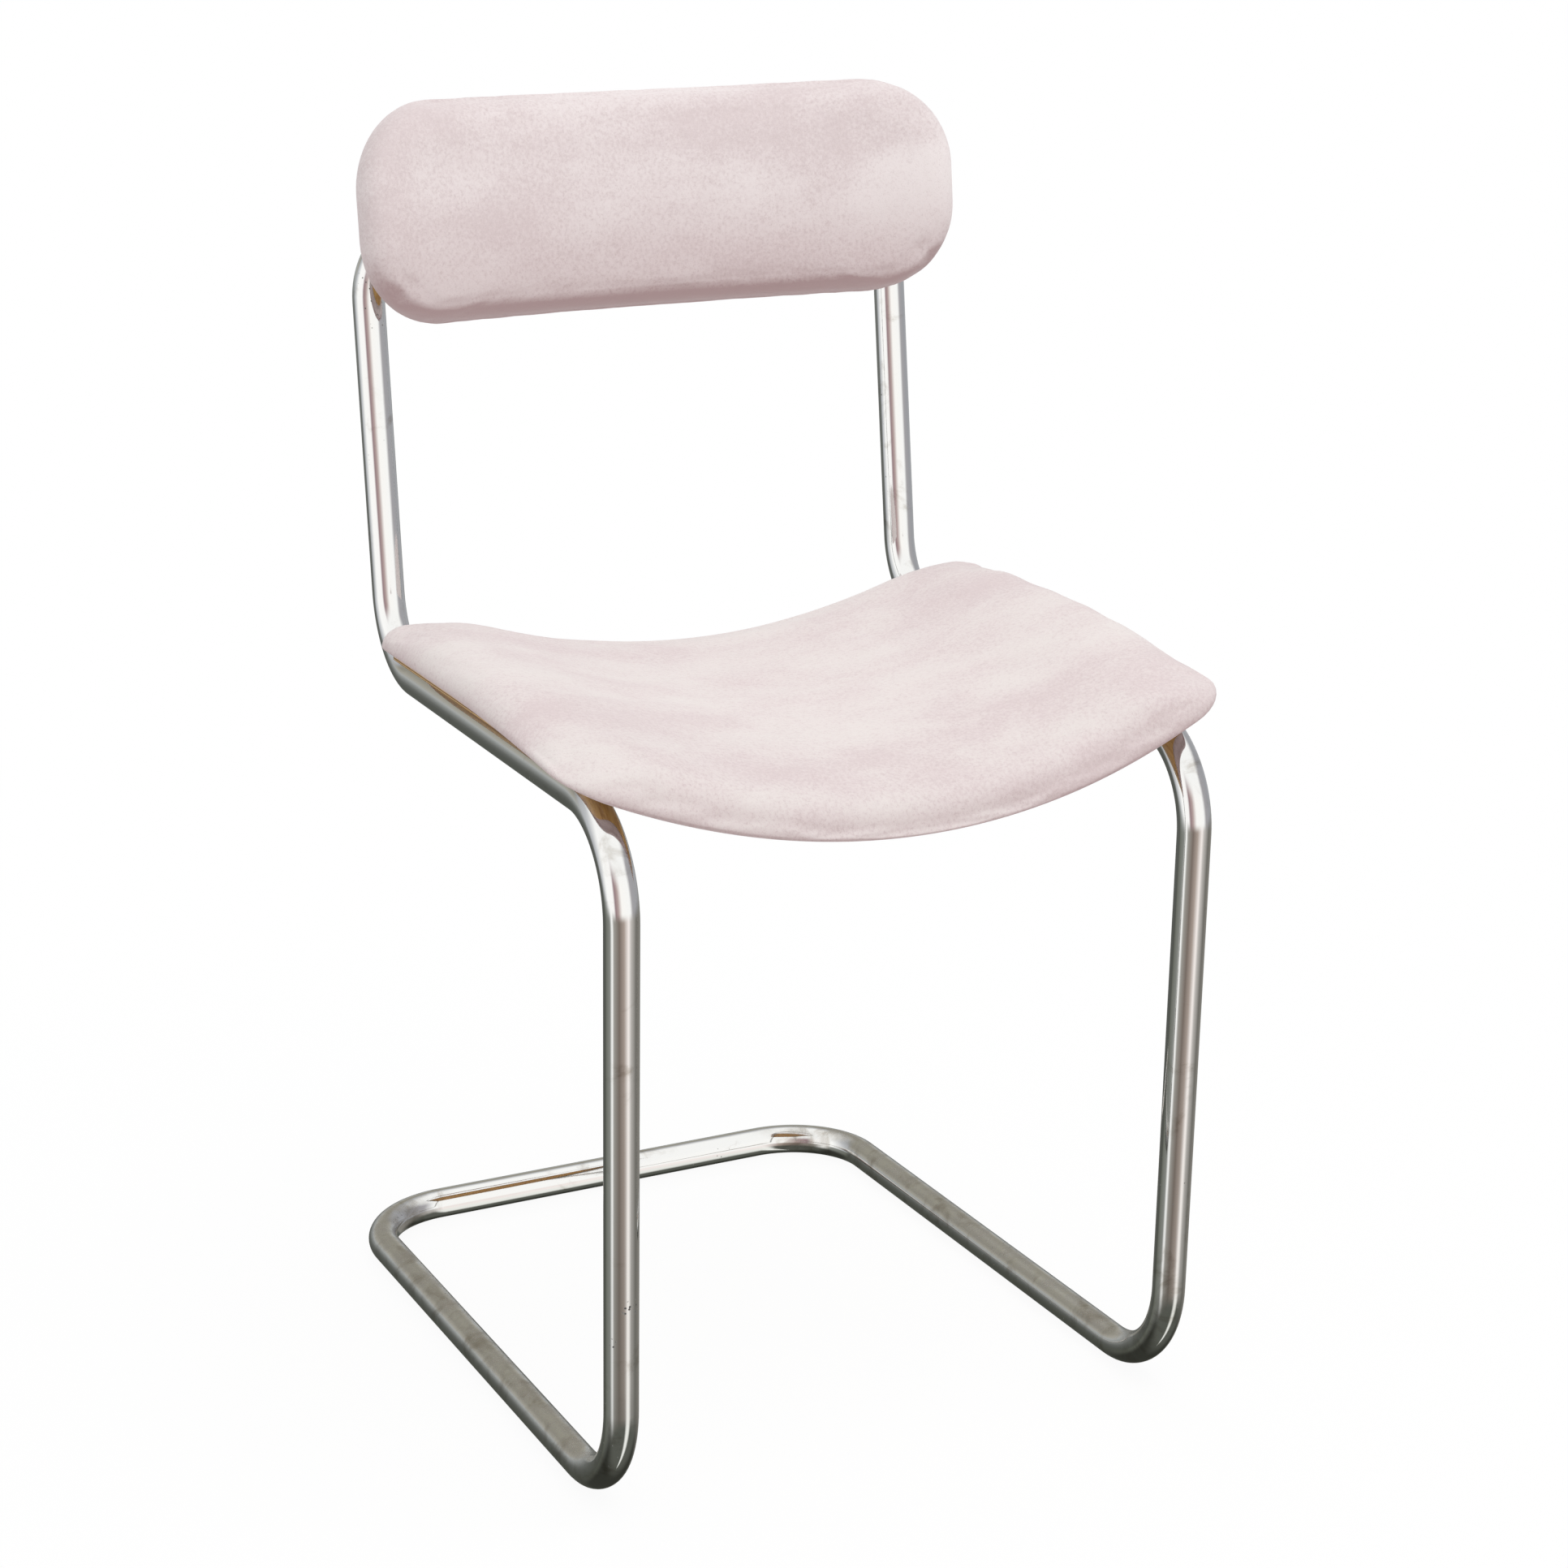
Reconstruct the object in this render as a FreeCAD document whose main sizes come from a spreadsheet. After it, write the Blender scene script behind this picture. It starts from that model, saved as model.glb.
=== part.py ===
"""Cantilever dining chair: one bent steel tube that carries a moulded seat and a curved backrest.

The tube is a single closed loop.  It runs across the floor at the rear, forward along the floor on
both sides, up as the two front legs, back under the seat as the side rails, up as the two uprights
and across behind the backrest, where its two ends meet over a hidden spigot.  There are no rear
legs.  Seat and backrest are built alike: a bare closing shell of moulded plywood, an inner plywood
board, a foam pad and a velvet cover that is turned under the board and stapled.

Millimetres and degrees.  +Z is up, the sitter faces -Y, and the floor is at Z = 0.
"""
import FreeCAD, Part
import math
import os

Vector = FreeCAD.Vector
UP = Vector(0, 0, 1)
ACROSS = Vector(1, 0, 0)
BACKWARD = Vector(0, 1, 0)
FORWARD = Vector(0, -1, 0)

# Driving dimensions: alias, value, what it measures
SIZES = [
    ("tube_diameter", 22, "outside diameter of the frame tube"),
    ("tube_wall", 2, "wall of the frame tube"),
    ("side_spacing", 395, "between the centre lines of the left and right tubes"),
    ("base_depth", 514, "floor tube, from the front corner to the rear crossbar"),
    ("rail_height", 462.5, "centre line of the seat rail at its front corner"),
    ("rail_length", 409, "seat rail between its two corners"),
    ("leg_lean", 4.5, "degrees that the front legs lean forward at the top"),
    ("rail_slope", 1.5, "degrees that the seat rails rise towards the rear"),
    ("back_lean", 3.8, "degrees that the uprights lean back"),
    ("bar_height", 778, "centre line of the bar behind the backrest"),
    ("floor_rear_bend", 64, "centre line radius, floor tube to rear crossbar"),
    ("floor_front_bend", 73, "centre line radius, floor tube to front leg"),
    ("seat_front_bend", 61, "centre line radius, front leg to seat rail"),
    ("seat_rear_bend", 56, "centre line radius, seat rail to upright"),
    ("bar_bend", 56, "centre line radius, upright to the bar behind the backrest"),
    ("tube_seam", 0.3, "gap between the two ends of the tube"),
    ("spigot_length", 84, "sleeve inside the joint of the tube"),
    ("spigot_wall", 2, "wall of that sleeve"),
    ("spigot_play", 0.1, "radial play of the sleeve in the tube"),
    ("pin_diameter", 4, "cross pins that hold the joint of the tube"),
    ("pin_spread", 44, "between those two pins"),
    ("seat_width", 457, "outside width of the seat pad"),
    ("seat_front_reach", 7.5, "seat pad forward of the rail's front corner"),
    ("seat_rear_room", 7, "seat pad in front of the bend of the uprights"),
    ("seat_bow", 18.5, "how far the front edge of the seat bows forward"),
    ("seat_rear_corner", 20, "corner radius of the seat at the rear"),
    ("seat_front_corner", 28, "corner radius of the seat at the front"),
    ("inner_corner", 5, "smallest corner radius of what lies inside that outline"),
    ("seat_rear_curve", 538, "radius under the seat's shell at the rear"),
    ("seat_front_curve", 507, "radius under the seat's shell at the front"),
    ("seat_roll_length", 110, "front part of the seat that curves down"),
    ("seat_roll_drop", 11.4, "how far it curves down at the front edge"),
    ("seat_hollow_curve", 457, "radius of the hollow that one sits in"),
    ("seat_shoulder", 80, "rolled part of the sitting surface at each side"),
    ("seat_shoulder_curve", 170, "radius of that rolled part"),
    ("seat_thinning_length", 215, "front part of the seat foam that gets thinner"),
    ("seat_thinning", 4.5, "how much thinner it is at the front edge"),
    ("rail_gap", 2.5, "between the seat rails and the seat shell"),
    ("bar_gap", 1.2, "between the bar and the back shell"),
    ("shell_thickness", 3.5, "bare closing shells of the seat and of the backrest"),
    ("shell_side_inset", 2.5, "seat shell inside the sides of the seat pad"),
    ("shell_end_inset", 14, "seat shell inside the front and the rear edge of the seat pad"),
    ("back_shell_inset", 9, "back shell inside the edge of the backrest"),
    ("staple_room", 0.6, "between a closing shell and the cover above it"),
    ("cover_thickness", 1, "velvet cover"),
    ("cover_margin", 24, "width of the cover that is turned under the board"),
    ("soft_gap", 0.3, "play between the cover and what it wraps"),
    ("board_thickness", 5, "inner plywood boards"),
    ("seat_foam_thickness", 23.6, "foam of the seat in its middle"),
    ("back_foam_thickness", 20.5, "foam of the backrest"),
    ("seat_upper_round", 3.6, "rounded edge of the seat pad on the sitter's side"),
    ("seat_lower_round", 2.2, "rounded edge of the seat pad on the board's side"),
    ("back_front_round", 13, "rounded edge of the backrest on the sitter's side"),
    ("back_rear_round", 6, "rounded edge of the backrest on the board's side"),
    ("back_width", 436, "outside width of the backrest"),
    ("back_height", 147.5, "outside height of the backrest"),
    ("back_rise", 3.6, "middle of the backrest above the centre line of its bar"),
    ("back_corner", 60, "corner radius of the backrest"),
    ("back_curve", 672, "radius of the rear face of the backrest"),
    ("screw_diameter", 6, "machine screws"),
    ("screw_play", 0.3, "radial play of the screws in the tube and the shells"),
    ("head_diameter", 11, "screw heads"),
    ("head_height", 3.6, "screw heads"),
    ("socket_width", 4, "hexagon socket of the screws, across its flats"),
    ("socket_depth", 2, "depth of that socket"),
    ("head_room", 0.8, "radial room for a seat screw's head in the hole below it"),
    ("washer_diameter", 14, "cup washers under the heads of the back screws"),
    ("washer_thickness", 1.4, "thickness of those washers below the tube"),
    ("saddle_diameter", 17, "saddle spacers between the tube and the shells"),
    ("saddle_wrap", 3.5, "how far washers and saddles reach round the tube"),
    ("nut_flange_diameter", 19, "flanges of the tee nuts"),
    ("nut_flange_thickness", 1.2, "flanges of the tee nuts"),
    ("nut_barrel_diameter", 8, "barrels of the tee nuts"),
    ("nut_barrel_length", 5, "barrels of the tee nuts"),
    ("contact_gap", 0.05, "play between metal pieces that touch"),
    ("seat_screw_front", 92, "front seat screws, behind the rail's front corner"),
    ("seat_screw_pitch", 185, "between the front and the rear seat screws"),
    ("back_screw_spread", 130, "between the two screws of the backrest"),
    ("staple_crown", 10, "length of a staple along the edge"),
    ("staple_wire", 0.5, "thickness of the staple wire"),
    ("staple_leg", 4, "length of the staple legs"),
    ("staple_setback", 13, "staples inside the edge of the pad"),
    ("staple_pitch", 45, "between one staple and the next"),
]

doc = FreeCAD.newDocument("CantileverChair")
sheet = doc.addObject("Spreadsheet::Sheet", "Sizes")
for row, (alias, value, meaning) in enumerate(SIZES, 1):
    sheet.set(f"A{row}", meaning)
    sheet.set(f"B{row}", str(value))
    sheet.setAlias(f"B{row}", alias)
doc.recompute()


def size(alias):
    """One driving dimension, read from the sheet."""
    return float(sheet.get(alias))


def slope(degrees_alias):
    """Sine and cosine of an angle of the sheet."""
    angle = math.radians(size(degrees_alias))
    return math.sin(angle), math.cos(angle)


# Places that follow from the driving dimensions
tube_radius = size("tube_diameter") / 2
bore_radius = tube_radius - size("tube_wall")
half_gauge = size("side_spacing") / 2
rail_sin, rail_cos = slope("rail_slope")
back_sin, back_cos = slope("back_lean")
leg_rise = size("rail_height") - tube_radius
rail_corner_ahead = leg_rise * math.tan(math.radians(size("leg_lean")))
foremost = rail_corner_ahead + size("seat_front_reach") * rail_cos
rearmost = size("base_depth") + tube_radius
front_floor_y = (foremost - rearmost) / 2

floor_rear = Vector(half_gauge, front_floor_y + size("base_depth"), tube_radius)
floor_front = Vector(half_gauge, front_floor_y, tube_radius)
rail_front = Vector(half_gauge, front_floor_y - rail_corner_ahead, size("rail_height"))
rail_rear = rail_front + Vector(0, rail_cos, rail_sin) * size("rail_length")
upright_rise = size("bar_height") - rail_rear.z
bar_corner = rail_rear + Vector(0, upright_rise * back_sin / back_cos, upright_rise)


# Frames of reference of the seat and of the backrest
def seat_frame():
    """The seat's own frame: on top of the rails, at the rail's front corner, along the rails."""
    origin = Vector(0, rail_front.y, rail_front.z) + Vector(0, -rail_sin, rail_cos) * tube_radius
    return FreeCAD.Placement(origin, FreeCAD.Rotation(ACROSS, size("rail_slope")))


def back_frame():
    """The backrest's own frame: on the centre line of its bar, leaning back with the uprights."""
    origin = Vector(0, bar_corner.y, bar_corner.z)
    return FreeCAD.Placement(origin, FreeCAD.Rotation(ACROSS, -size("back_lean")))


# The tube
def bent_path(corners, radii):
    """A wire of straight runs through the corners, joined by tangent arcs of the given radii."""
    edges = []
    start = corners[0]
    for before, corner, after, radius in zip(corners, corners[1:], corners[2:], radii):
        incoming = (corner - before).normalize()
        outgoing = (after - corner).normalize()
        turn = incoming.getAngle(outgoing)
        tangent_length = radius * math.tan(turn / 2)
        arc_start = corner - incoming * tangent_length
        arc_end = corner + outgoing * tangent_length
        inward = (outgoing - incoming).normalize()
        centre_distance = radius / math.cos(turn / 2)
        arc_middle = corner + inward * (centre_distance - radius)
        edges.append(Part.LineSegment(start, arc_start).toShape())
        edges.append(Part.Arc(arc_start, arc_middle, arc_end).toShape())
        start = arc_end
    edges.append(Part.LineSegment(start, corners[-1]).toShape())
    return Part.Wire(edges)


def mirrored_x(point):
    """The same point on the other side of the chair."""
    return Vector(-point.x, point.y, point.z)


def frame_path():
    """Centre line of the tube, from its joint round the whole chair and back to its joint."""
    right = [bar_corner, rail_rear, rail_front, floor_front, floor_rear]
    joint = Vector(size("tube_seam") / 2, bar_corner.y, bar_corner.z)
    corners = [joint] + right + [mirrored_x(point) for point in reversed(right)] + [mirrored_x(joint)]
    names = ["bar_bend", "seat_rear_bend", "seat_front_bend", "floor_front_bend", "floor_rear_bend"]
    radii = [size(name) for name in names]
    return bent_path(corners, radii + radii[::-1])


def swept(path, radius):
    """A round bar of that radius along the path."""
    start = path.Edges[0]
    point = start.valueAt(start.FirstParameter)
    circle = Part.Wire([Part.Circle(point, start.tangentAt(start.FirstParameter), radius).toShape()])
    return path.makePipeShell([circle], True, False)


def rod(start, axis, low, high, radius):
    """A cylinder on the line through start along axis, from low to high."""
    return Part.makeCylinder(radius, high - low, start + axis * low, axis)


# The seat's surfaces, in the seat's own frame
seat_front = -size("seat_front_reach")
rail_bend_turn = math.radians(90 - size("back_lean") - size("rail_slope"))
rail_bend_start = size("rail_length") - size("seat_rear_bend") * math.tan(rail_bend_turn / 2)
seat_rear = rail_bend_start - size("seat_rear_room")
cover_low = size("shell_thickness") + size("staple_room")
wrap = size("cover_thickness") + size("soft_gap")
board_low = cover_low + wrap
board_high = board_low + size("board_thickness")
seat_pad_high = board_high + size("seat_foam_thickness") + wrap
back_pad_high = board_high + size("back_foam_thickness") + wrap
shoulder_start = size("seat_width") / 2 - size("seat_shoulder")


def front_share(y, length):
    """0 behind the front part of that length, growing to 1 at the front edge, squared."""
    return max(0.0, 1 - (y - seat_front) / length) ** 2


def seat_curve(y):
    """Radius of the seat's hollow at that distance along the rail."""
    share = (y - seat_front) / (seat_rear - seat_front)
    front_radius, rear_radius = size("seat_front_curve"), size("seat_rear_curve")
    return front_radius + (rear_radius - front_radius) * share


def seat_curve_centre(y):
    """Height of the centre of that hollow, which just clears both rails."""
    reach = seat_curve(y) + tube_radius + size("rail_gap")
    return math.sqrt(reach ** 2 - half_gauge ** 2) - tube_radius


def seat_height(x, y):
    """Underside of the closing shell above the plane on top of the rails."""
    drop = size("seat_roll_drop") * front_share(y, size("seat_roll_length"))
    return seat_curve_centre(y) - math.sqrt(seat_curve(y) ** 2 - x ** 2) - drop


def sitting_height(x, y, lift):
    """The sitting surface: a hollow between two rolled shoulders, thinner towards the front.

    lift is the height of its middle at the rear above the closing shell's underside.
    """
    hollow, shoulder = size("seat_hollow_curve"), size("seat_shoulder_curve")
    way_back = min(1.0, (y - seat_front) / size("seat_thinning_length"))
    thinner = size("seat_thinning") * (1 + math.cos(math.pi * way_back)) / 2
    floor = seat_height(0, y) + lift - thinner
    if abs(x) <= shoulder_start:
        return floor + hollow - math.sqrt(hollow ** 2 - x ** 2)
    turn = math.asin(shoulder_start / hollow)
    crest_x = shoulder_start + shoulder * math.sin(turn)
    centre = floor + hollow - (hollow + shoulder) * math.cos(turn)
    return centre + math.sqrt(shoulder ** 2 - (abs(x) - crest_x) ** 2)


def plain_arc(y, lift, reach):
    """The line across the seat at y, that high above the closing shell's underside."""
    return [Part.Arc(*[Vector(x, y, seat_height(x, y) + lift) for x in (-reach, 0, reach)]).toShape()]


def crowned_arcs(y, lift, reach):
    """The line across the sitting surface at y."""
    middle = (shoulder_start + reach) / 2
    spans = [(-reach, -middle, -shoulder_start), (-shoulder_start, 0, shoulder_start),
             (shoulder_start, middle, reach)]
    return [Part.Arc(*[Vector(x, y, sitting_height(x, y, lift)) for x in span]).toShape() for span in spans]


def seat_band(low, high, crowned):
    """A curved slab of the seat, wider and longer than the seat, before its outline is cut."""
    margin = 8
    stations = 6
    reach = size("seat_width") / 2 + margin
    start, length = seat_front - margin, seat_rear - seat_front + 2 * margin
    sections = []
    for station in range(stations):
        y = start + length * station / (stations - 1)
        lower = plain_arc(y, low, reach)
        upper = crowned_arcs(y, high, reach) if crowned else plain_arc(y, high, reach)
        ends = [[arcs[0].firstVertex().Point, arcs[-1].lastVertex().Point] for arcs in (lower, upper)]
        sides = [Part.LineSegment(foot, head).toShape() for foot, head in zip(*ends)]
        sections.append(Part.Wire(Part.sortEdges(lower + upper + sides)[0]))
    return Part.makeLoft(sections, True, False)


def rounded_prism(face, direction, rounds):
    """Extrudes the face both ways along direction and rounds the edges that start near a corner.

    rounds holds pairs of a radius and the corners, points in the face's plane, that it rounds.
    """
    face.translate(direction * -1)
    prism = face.extrude(direction * 2)
    for radius, corners in rounds:
        chosen = []
        for edge in prism.Edges:
            along = abs(edge.tangentAt(edge.FirstParameter).dot(direction)) / direction.Length
            middle = edge.CenterOfMass
            if along > 0.999 and any(middle.distanceToPoint(corner) < 0.01 for corner in corners):
                chosen.append(edge)
        prism = prism.makeFillet(radius, chosen)
    return prism


def seat_prism(side_inset, end_inset):
    """Upright prism of the seat's plan: straight sides and rear, a bowed front, round corners."""
    half = size("seat_width") / 2 - side_inset
    rear = seat_rear - end_inset
    front = seat_front + end_inset
    shoulder = front + size("seat_bow")
    rear_left, rear_right = Vector(-half, rear, 0), Vector(half, rear, 0)
    front_right, front_left = Vector(half, shoulder, 0), Vector(-half, shoulder, 0)
    plan = Part.Face(Part.Wire([
        Part.LineSegment(rear_left, rear_right).toShape(),
        Part.LineSegment(rear_right, front_right).toShape(),
        Part.Arc(front_right, Vector(0, front, 0), front_left).toShape(),
        Part.LineSegment(front_left, rear_left).toShape(),
    ]))
    tall = UP * (size("seat_rear_curve") / 4)
    rounds = [
        (max(size("seat_rear_corner") - side_inset, size("inner_corner")), [rear_left, rear_right]),
        (max(size("seat_front_corner") - side_inset, size("inner_corner")), [front_left, front_right]),
    ]
    return rounded_prism(plan, tall, rounds)


def rim_edges(solid, side):
    """Edges where the solid's broad face on that side meets its walls."""
    def facing(face):
        u_low, u_high, v_low, v_high = face.ParameterRange
        return face.normalAt((u_low + u_high) / 2, (v_low + v_high) / 2).dot(side)

    broad = max((face for face in solid.Faces if facing(face) > 0.5), key=lambda face: face.Area)
    return broad.OuterWire.Edges


def seat_layer(low, high, side_inset=0.0, end_inset=None, crowned=False):
    """A layer of the seat between two heights, cut to the seat's plan less the insets."""
    end_inset = side_inset if end_inset is None else end_inset
    return seat_band(low, high, crowned).common(seat_prism(side_inset, end_inset)).Solids[0]


def seat_pad(inset):
    """The rounded body of the seat pad, cover included, or the same body that far inside it."""
    solid = seat_layer(cover_low + inset, seat_pad_high - inset, inset, crowned=True)
    solid = solid.makeFillet(size("seat_upper_round") - inset, rim_edges(solid, UP))
    return solid.makeFillet(size("seat_lower_round") - inset, rim_edges(solid, UP * -1))


# The backrest's surfaces, in the backrest's own frame
back_rear = tube_radius + size("bar_gap")
back_centre_y = -back_rear - size("back_curve")


def back_prism(inset):
    """Level prism of the backrest's outline, a rectangle with large round corners."""
    half = size("back_width") / 2 - inset
    low, high = [size("back_rise") + side * (size("back_height") / 2 - inset) for side in (-1, 1)]
    corners = [Vector(-half, 0, low), Vector(half, 0, low), Vector(half, 0, high), Vector(-half, 0, high)]
    outline = Part.Face(Part.makePolygon(corners + corners[:1]))
    return rounded_prism(outline, FORWARD * size("back_width"), [(size("back_corner") - inset, corners)])


def back_layer(low, high, inset=0.0):
    """A layer of the backrest between two distances in front of its rear face."""
    foot = Vector(0, back_centre_y, -size("back_height"))
    outer, inner = [Part.makeCylinder(size("back_curve") - lift, 2 * size("back_height"), foot)
                    for lift in (low, high)]
    return outer.cut(inner).common(back_prism(inset)).Solids[0]


def back_pad(inset):
    """The rounded body of the backrest pad, cover included, or the same body that far inside it."""
    solid = back_layer(cover_low + inset, back_pad_high - inset, inset)
    solid = solid.makeFillet(size("back_front_round") - inset, rim_edges(solid, FORWARD))
    return solid.makeFillet(size("back_rear_round") - inset, rim_edges(solid, FORWARD * -1))


# Where the screws go
class ScrewLine:
    """The line of one screw, from its head through the tube to the centre of the pad's hollow.

    crossing is where it crosses the tube's centre line, axis points from the head to the sitter,
    and along is the tube's direction.  lift_direction is the way in which the layers are stacked,
    or None if they are stacked along the axis itself.
    """

    def __init__(self, crossing, hollow_centre, hollow_radius, along, lift_direction=None):
        towards_centre = hollow_centre - crossing
        self.foot = towards_centre.Length - hollow_radius
        self.crossing = crossing
        self.axis = towards_centre.normalize()
        self.along = along
        self.tilt = self.axis.dot(lift_direction) if lift_direction else 1.0

    def at(self, lift):
        """Distance along the axis from the tube's centre to a layer that high above the shell."""
        return self.foot + lift * self.tilt

    def rod(self, low, high, radius):
        """A cylinder on this line."""
        return rod(self.crossing, self.axis, low, high, radius)

    def place(self, template, distance):
        """A copy of the template's shape, its origin at that distance and its +Z along the axis."""
        turned = template.Shape.copy()
        turned.Placement = FreeCAD.Placement(self.crossing + self.axis * distance,
                                             FreeCAD.Rotation(UP, self.axis))
        return turned

    def tube(self, play=0.0):
        """The tube's outside beside this line."""
        reach = 2 * size("saddle_diameter")
        return rod(self.crossing, self.along, -reach, reach, tube_radius + play)


seat_lines = [
    ScrewLine(Vector(side * half_gauge, y, -tube_radius), Vector(0, y, seat_curve_centre(y)),
              seat_curve(y), BACKWARD, UP)
    for side in (-1, 1)
    for y in (size("seat_screw_front"), size("seat_screw_front") + size("seat_screw_pitch"))
]
back_lines = [
    ScrewLine(Vector(side * size("back_screw_spread") / 2, 0, 0), Vector(0, back_centre_y, 0),
              size("back_curve"), ACROSS)
    for side in (-1, 1)
]
# Seat screws have their heads inside the tube, back screws have them on a washer behind it
seat_head = math.sqrt(bore_radius ** 2 - (size("head_diameter") / 2) ** 2) - size("contact_gap")
back_head = -(tube_radius + size("washer_thickness") + size("contact_gap"))


# Pieces that are made once and repeated
def cylinder(name, radius, height, base="0"):
    """A Part cylinder whose sizes and foot are expressions on the sheet."""
    solid = doc.addObject("Part::Cylinder", name)
    solid.setExpression("Radius", radius)
    solid.setExpression("Height", height)
    solid.setExpression("Placement.Base.z", base)
    return solid


def joined(kind, name, base, tool):
    """A Part cut or fusion of two objects."""
    result = doc.addObject(kind, name)
    result.Base, result.Tool = base, tool
    return result


def screw_template(name, length):
    """A socket screw: its head's underside is at Z = 0 and its shank points up."""
    head = cylinder(f"{name}Head", "Sizes.head_diameter / 2", "Sizes.head_height", "-Sizes.head_height")
    rounded = doc.addObject("Part::Fillet", f"{name}RoundHead")
    rounded.Base = head
    edge_round = size("head_height") / 3
    rounded.Edges = [(index, edge_round, edge_round) for index, edge in enumerate(head_edges(head), 1)
                     if edge]
    shank = cylinder(f"{name}Shank", "Sizes.screw_diameter / 2", f"{length}")
    socket = doc.addObject("Part::Prism", f"{name}Socket")
    socket.Polygon = 6
    socket.setExpression("Circumradius", "Sizes.socket_width / sqrt(3)")
    socket.setExpression("Height", "Sizes.socket_depth")
    socket.setExpression("Placement.Base.z", "-Sizes.head_height")
    whole = joined("Part::Fuse", f"{name}Blank", rounded, shank)
    return joined("Part::Cut", f"{name}Template", whole, socket)


def head_edges(head):
    """For each edge of a cylinder, whether it is the circle at the cylinder's foot."""
    doc.recompute()
    foot = head.Placement.Base.z
    return [edge.Closed and abs(edge.CenterOfMass.z - foot) < 1e-6 for edge in head.Shape.Edges]


def drilled(name, blank, bore, height, base):
    """The blank with a bore of that radius along its axis."""
    return joined("Part::Cut", name, blank, cylinder(f"{name}Bore", bore, height, base))


def nut_template():
    """A tee nut: its flange's underside is at Z = 0 and its barrel points down."""
    flange = cylinder("NutFlange", "Sizes.nut_flange_diameter / 2", "Sizes.nut_flange_thickness")
    barrel = cylinder("NutBarrel", "Sizes.nut_barrel_diameter / 2", "Sizes.nut_barrel_length",
                      "-Sizes.nut_barrel_length")
    blank = joined("Part::Fuse", "NutBlank", flange, barrel)
    return drilled("NutTemplate", blank, "Sizes.screw_diameter / 2 + Sizes.contact_gap",
                   "Sizes.nut_barrel_length + Sizes.nut_flange_thickness", "-Sizes.nut_barrel_length")


def ring_template(name, diameter, height, base):
    """A drilled disc around a screw, on the tube's centre at Z = 0, before the tube is cut away."""
    blank = cylinder(f"{name}Blank", f"Sizes.{diameter} / 2", height, base)
    return drilled(f"{name}Template", blank, "Sizes.screw_diameter / 2 + Sizes.contact_gap", height, base)


def screw_length(line, head_seat):
    """From the head's underside to the top of the tee nut."""
    return line.at(board_high) + size("nut_flange_thickness") - head_seat


def saddle_template(name, line):
    """A saddle spacer that reaches into the shell, before tube and shell are cut away from it."""
    height = size("saddle_wrap") + line.at(size("shell_thickness") / 2) - tube_radius
    return ring_template(name, "saddle_diameter", f"{height}", "Sizes.tube_diameter / 2 - Sizes.saddle_wrap")


seat_screw = screw_template("SeatScrew", screw_length(seat_lines[0], seat_head))
back_screw = screw_template("BackScrew", screw_length(back_lines[0], back_head))
tee_nut = nut_template()
washer = ring_template("Washer", "washer_diameter", "Sizes.washer_thickness + Sizes.saddle_wrap",
                       "-Sizes.tube_diameter / 2 - Sizes.washer_thickness")
seat_saddle = saddle_template("SeatSaddle", seat_lines[0])
back_saddle = saddle_template("BackSaddle", back_lines[0])
pin = cylinder("PinTemplate", "Sizes.pin_diameter / 2", "Sizes.tube_diameter", "-Sizes.tube_diameter / 2")
doc.recompute()


def square_bar(start, direction, side, wire, length):
    """A bar of square wire from start in that direction, one side of the wire along side."""
    half_side, half_across = side * (wire / 2), side.cross(direction) * (wire / 2)
    corners = [start - half_side - half_across, start + half_side - half_across,
               start + half_side + half_across, start - half_side + half_across]
    return Part.Face(Part.makePolygon(corners + corners[:1])).extrude(direction * length)


def staple_legs(point, along, inward, play=0.0):
    """The two legs of a staple, or the room they need in what they are driven into."""
    ends = [point - along * (size("staple_crown") / 2), point + along * (size("staple_crown") / 2)]
    wire, length = size("staple_wire") + 2 * play, size("staple_leg") + play
    return [square_bar(end, inward, along, wire, length) for end in ends]


def staple_shape(point, along, inward):
    """A staple: its crown lies at point along the edge and its two legs go inward."""
    wire, crown = size("staple_wire"), size("staple_crown")
    crown_bar = square_bar(point - along * ((crown + wire) / 2), along, inward, wire, crown + wire)
    return crown_bar.fuse(staple_legs(point, along, inward)).removeSplitter()


def staple_places(outline, surface_point, surface_inward):
    """Points and directions of the staples, evenly spaced along an outline."""
    count = round(outline.Length / size("staple_pitch"))
    steps = [outline.Length * (index + 0.5) / count for index in range(count)]
    places = []
    for step in steps:
        here, ahead = [along_wire(outline, distance % outline.Length) for distance in (step, step + 1)]
        start, end = surface_point(here), surface_point(ahead)
        along = (end - start).normalize()
        inward = surface_inward(here)
        inward = (inward - along * inward.dot(along)).normalize()
        places.append((start, along, inward))
    return places


def along_wire(wire, distance):
    """The point that far along a wire."""
    for edge in wire.OrderedEdges:
        if distance <= edge.Length:
            forward = edge.Orientation == "Forward"
            return edge.valueAt(edge.getParameterByLength(distance if forward else edge.Length - distance))
        distance -= edge.Length
    return wire.OrderedVertexes[0].Point


def seat_staple_places():
    """Staples round the underside of the seat board, just below the turned-under cover."""
    outline = seat_prism(size("staple_setback"), size("staple_setback")).slice(UP, 0.0)[0]
    lift = cover_low - size("staple_wire") / 2 - size("contact_gap")

    def point(flat):
        return Vector(flat.x, flat.y, seat_height(flat.x, flat.y) + lift)

    def inward(flat):
        step = 1.0
        rise_x = seat_height(flat.x + step, flat.y) - seat_height(flat.x, flat.y)
        rise_y = seat_height(flat.x, flat.y + step) - seat_height(flat.x, flat.y)
        return Vector(-rise_x, -rise_y, step).normalize()

    return staple_places(outline, point, inward)


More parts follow.
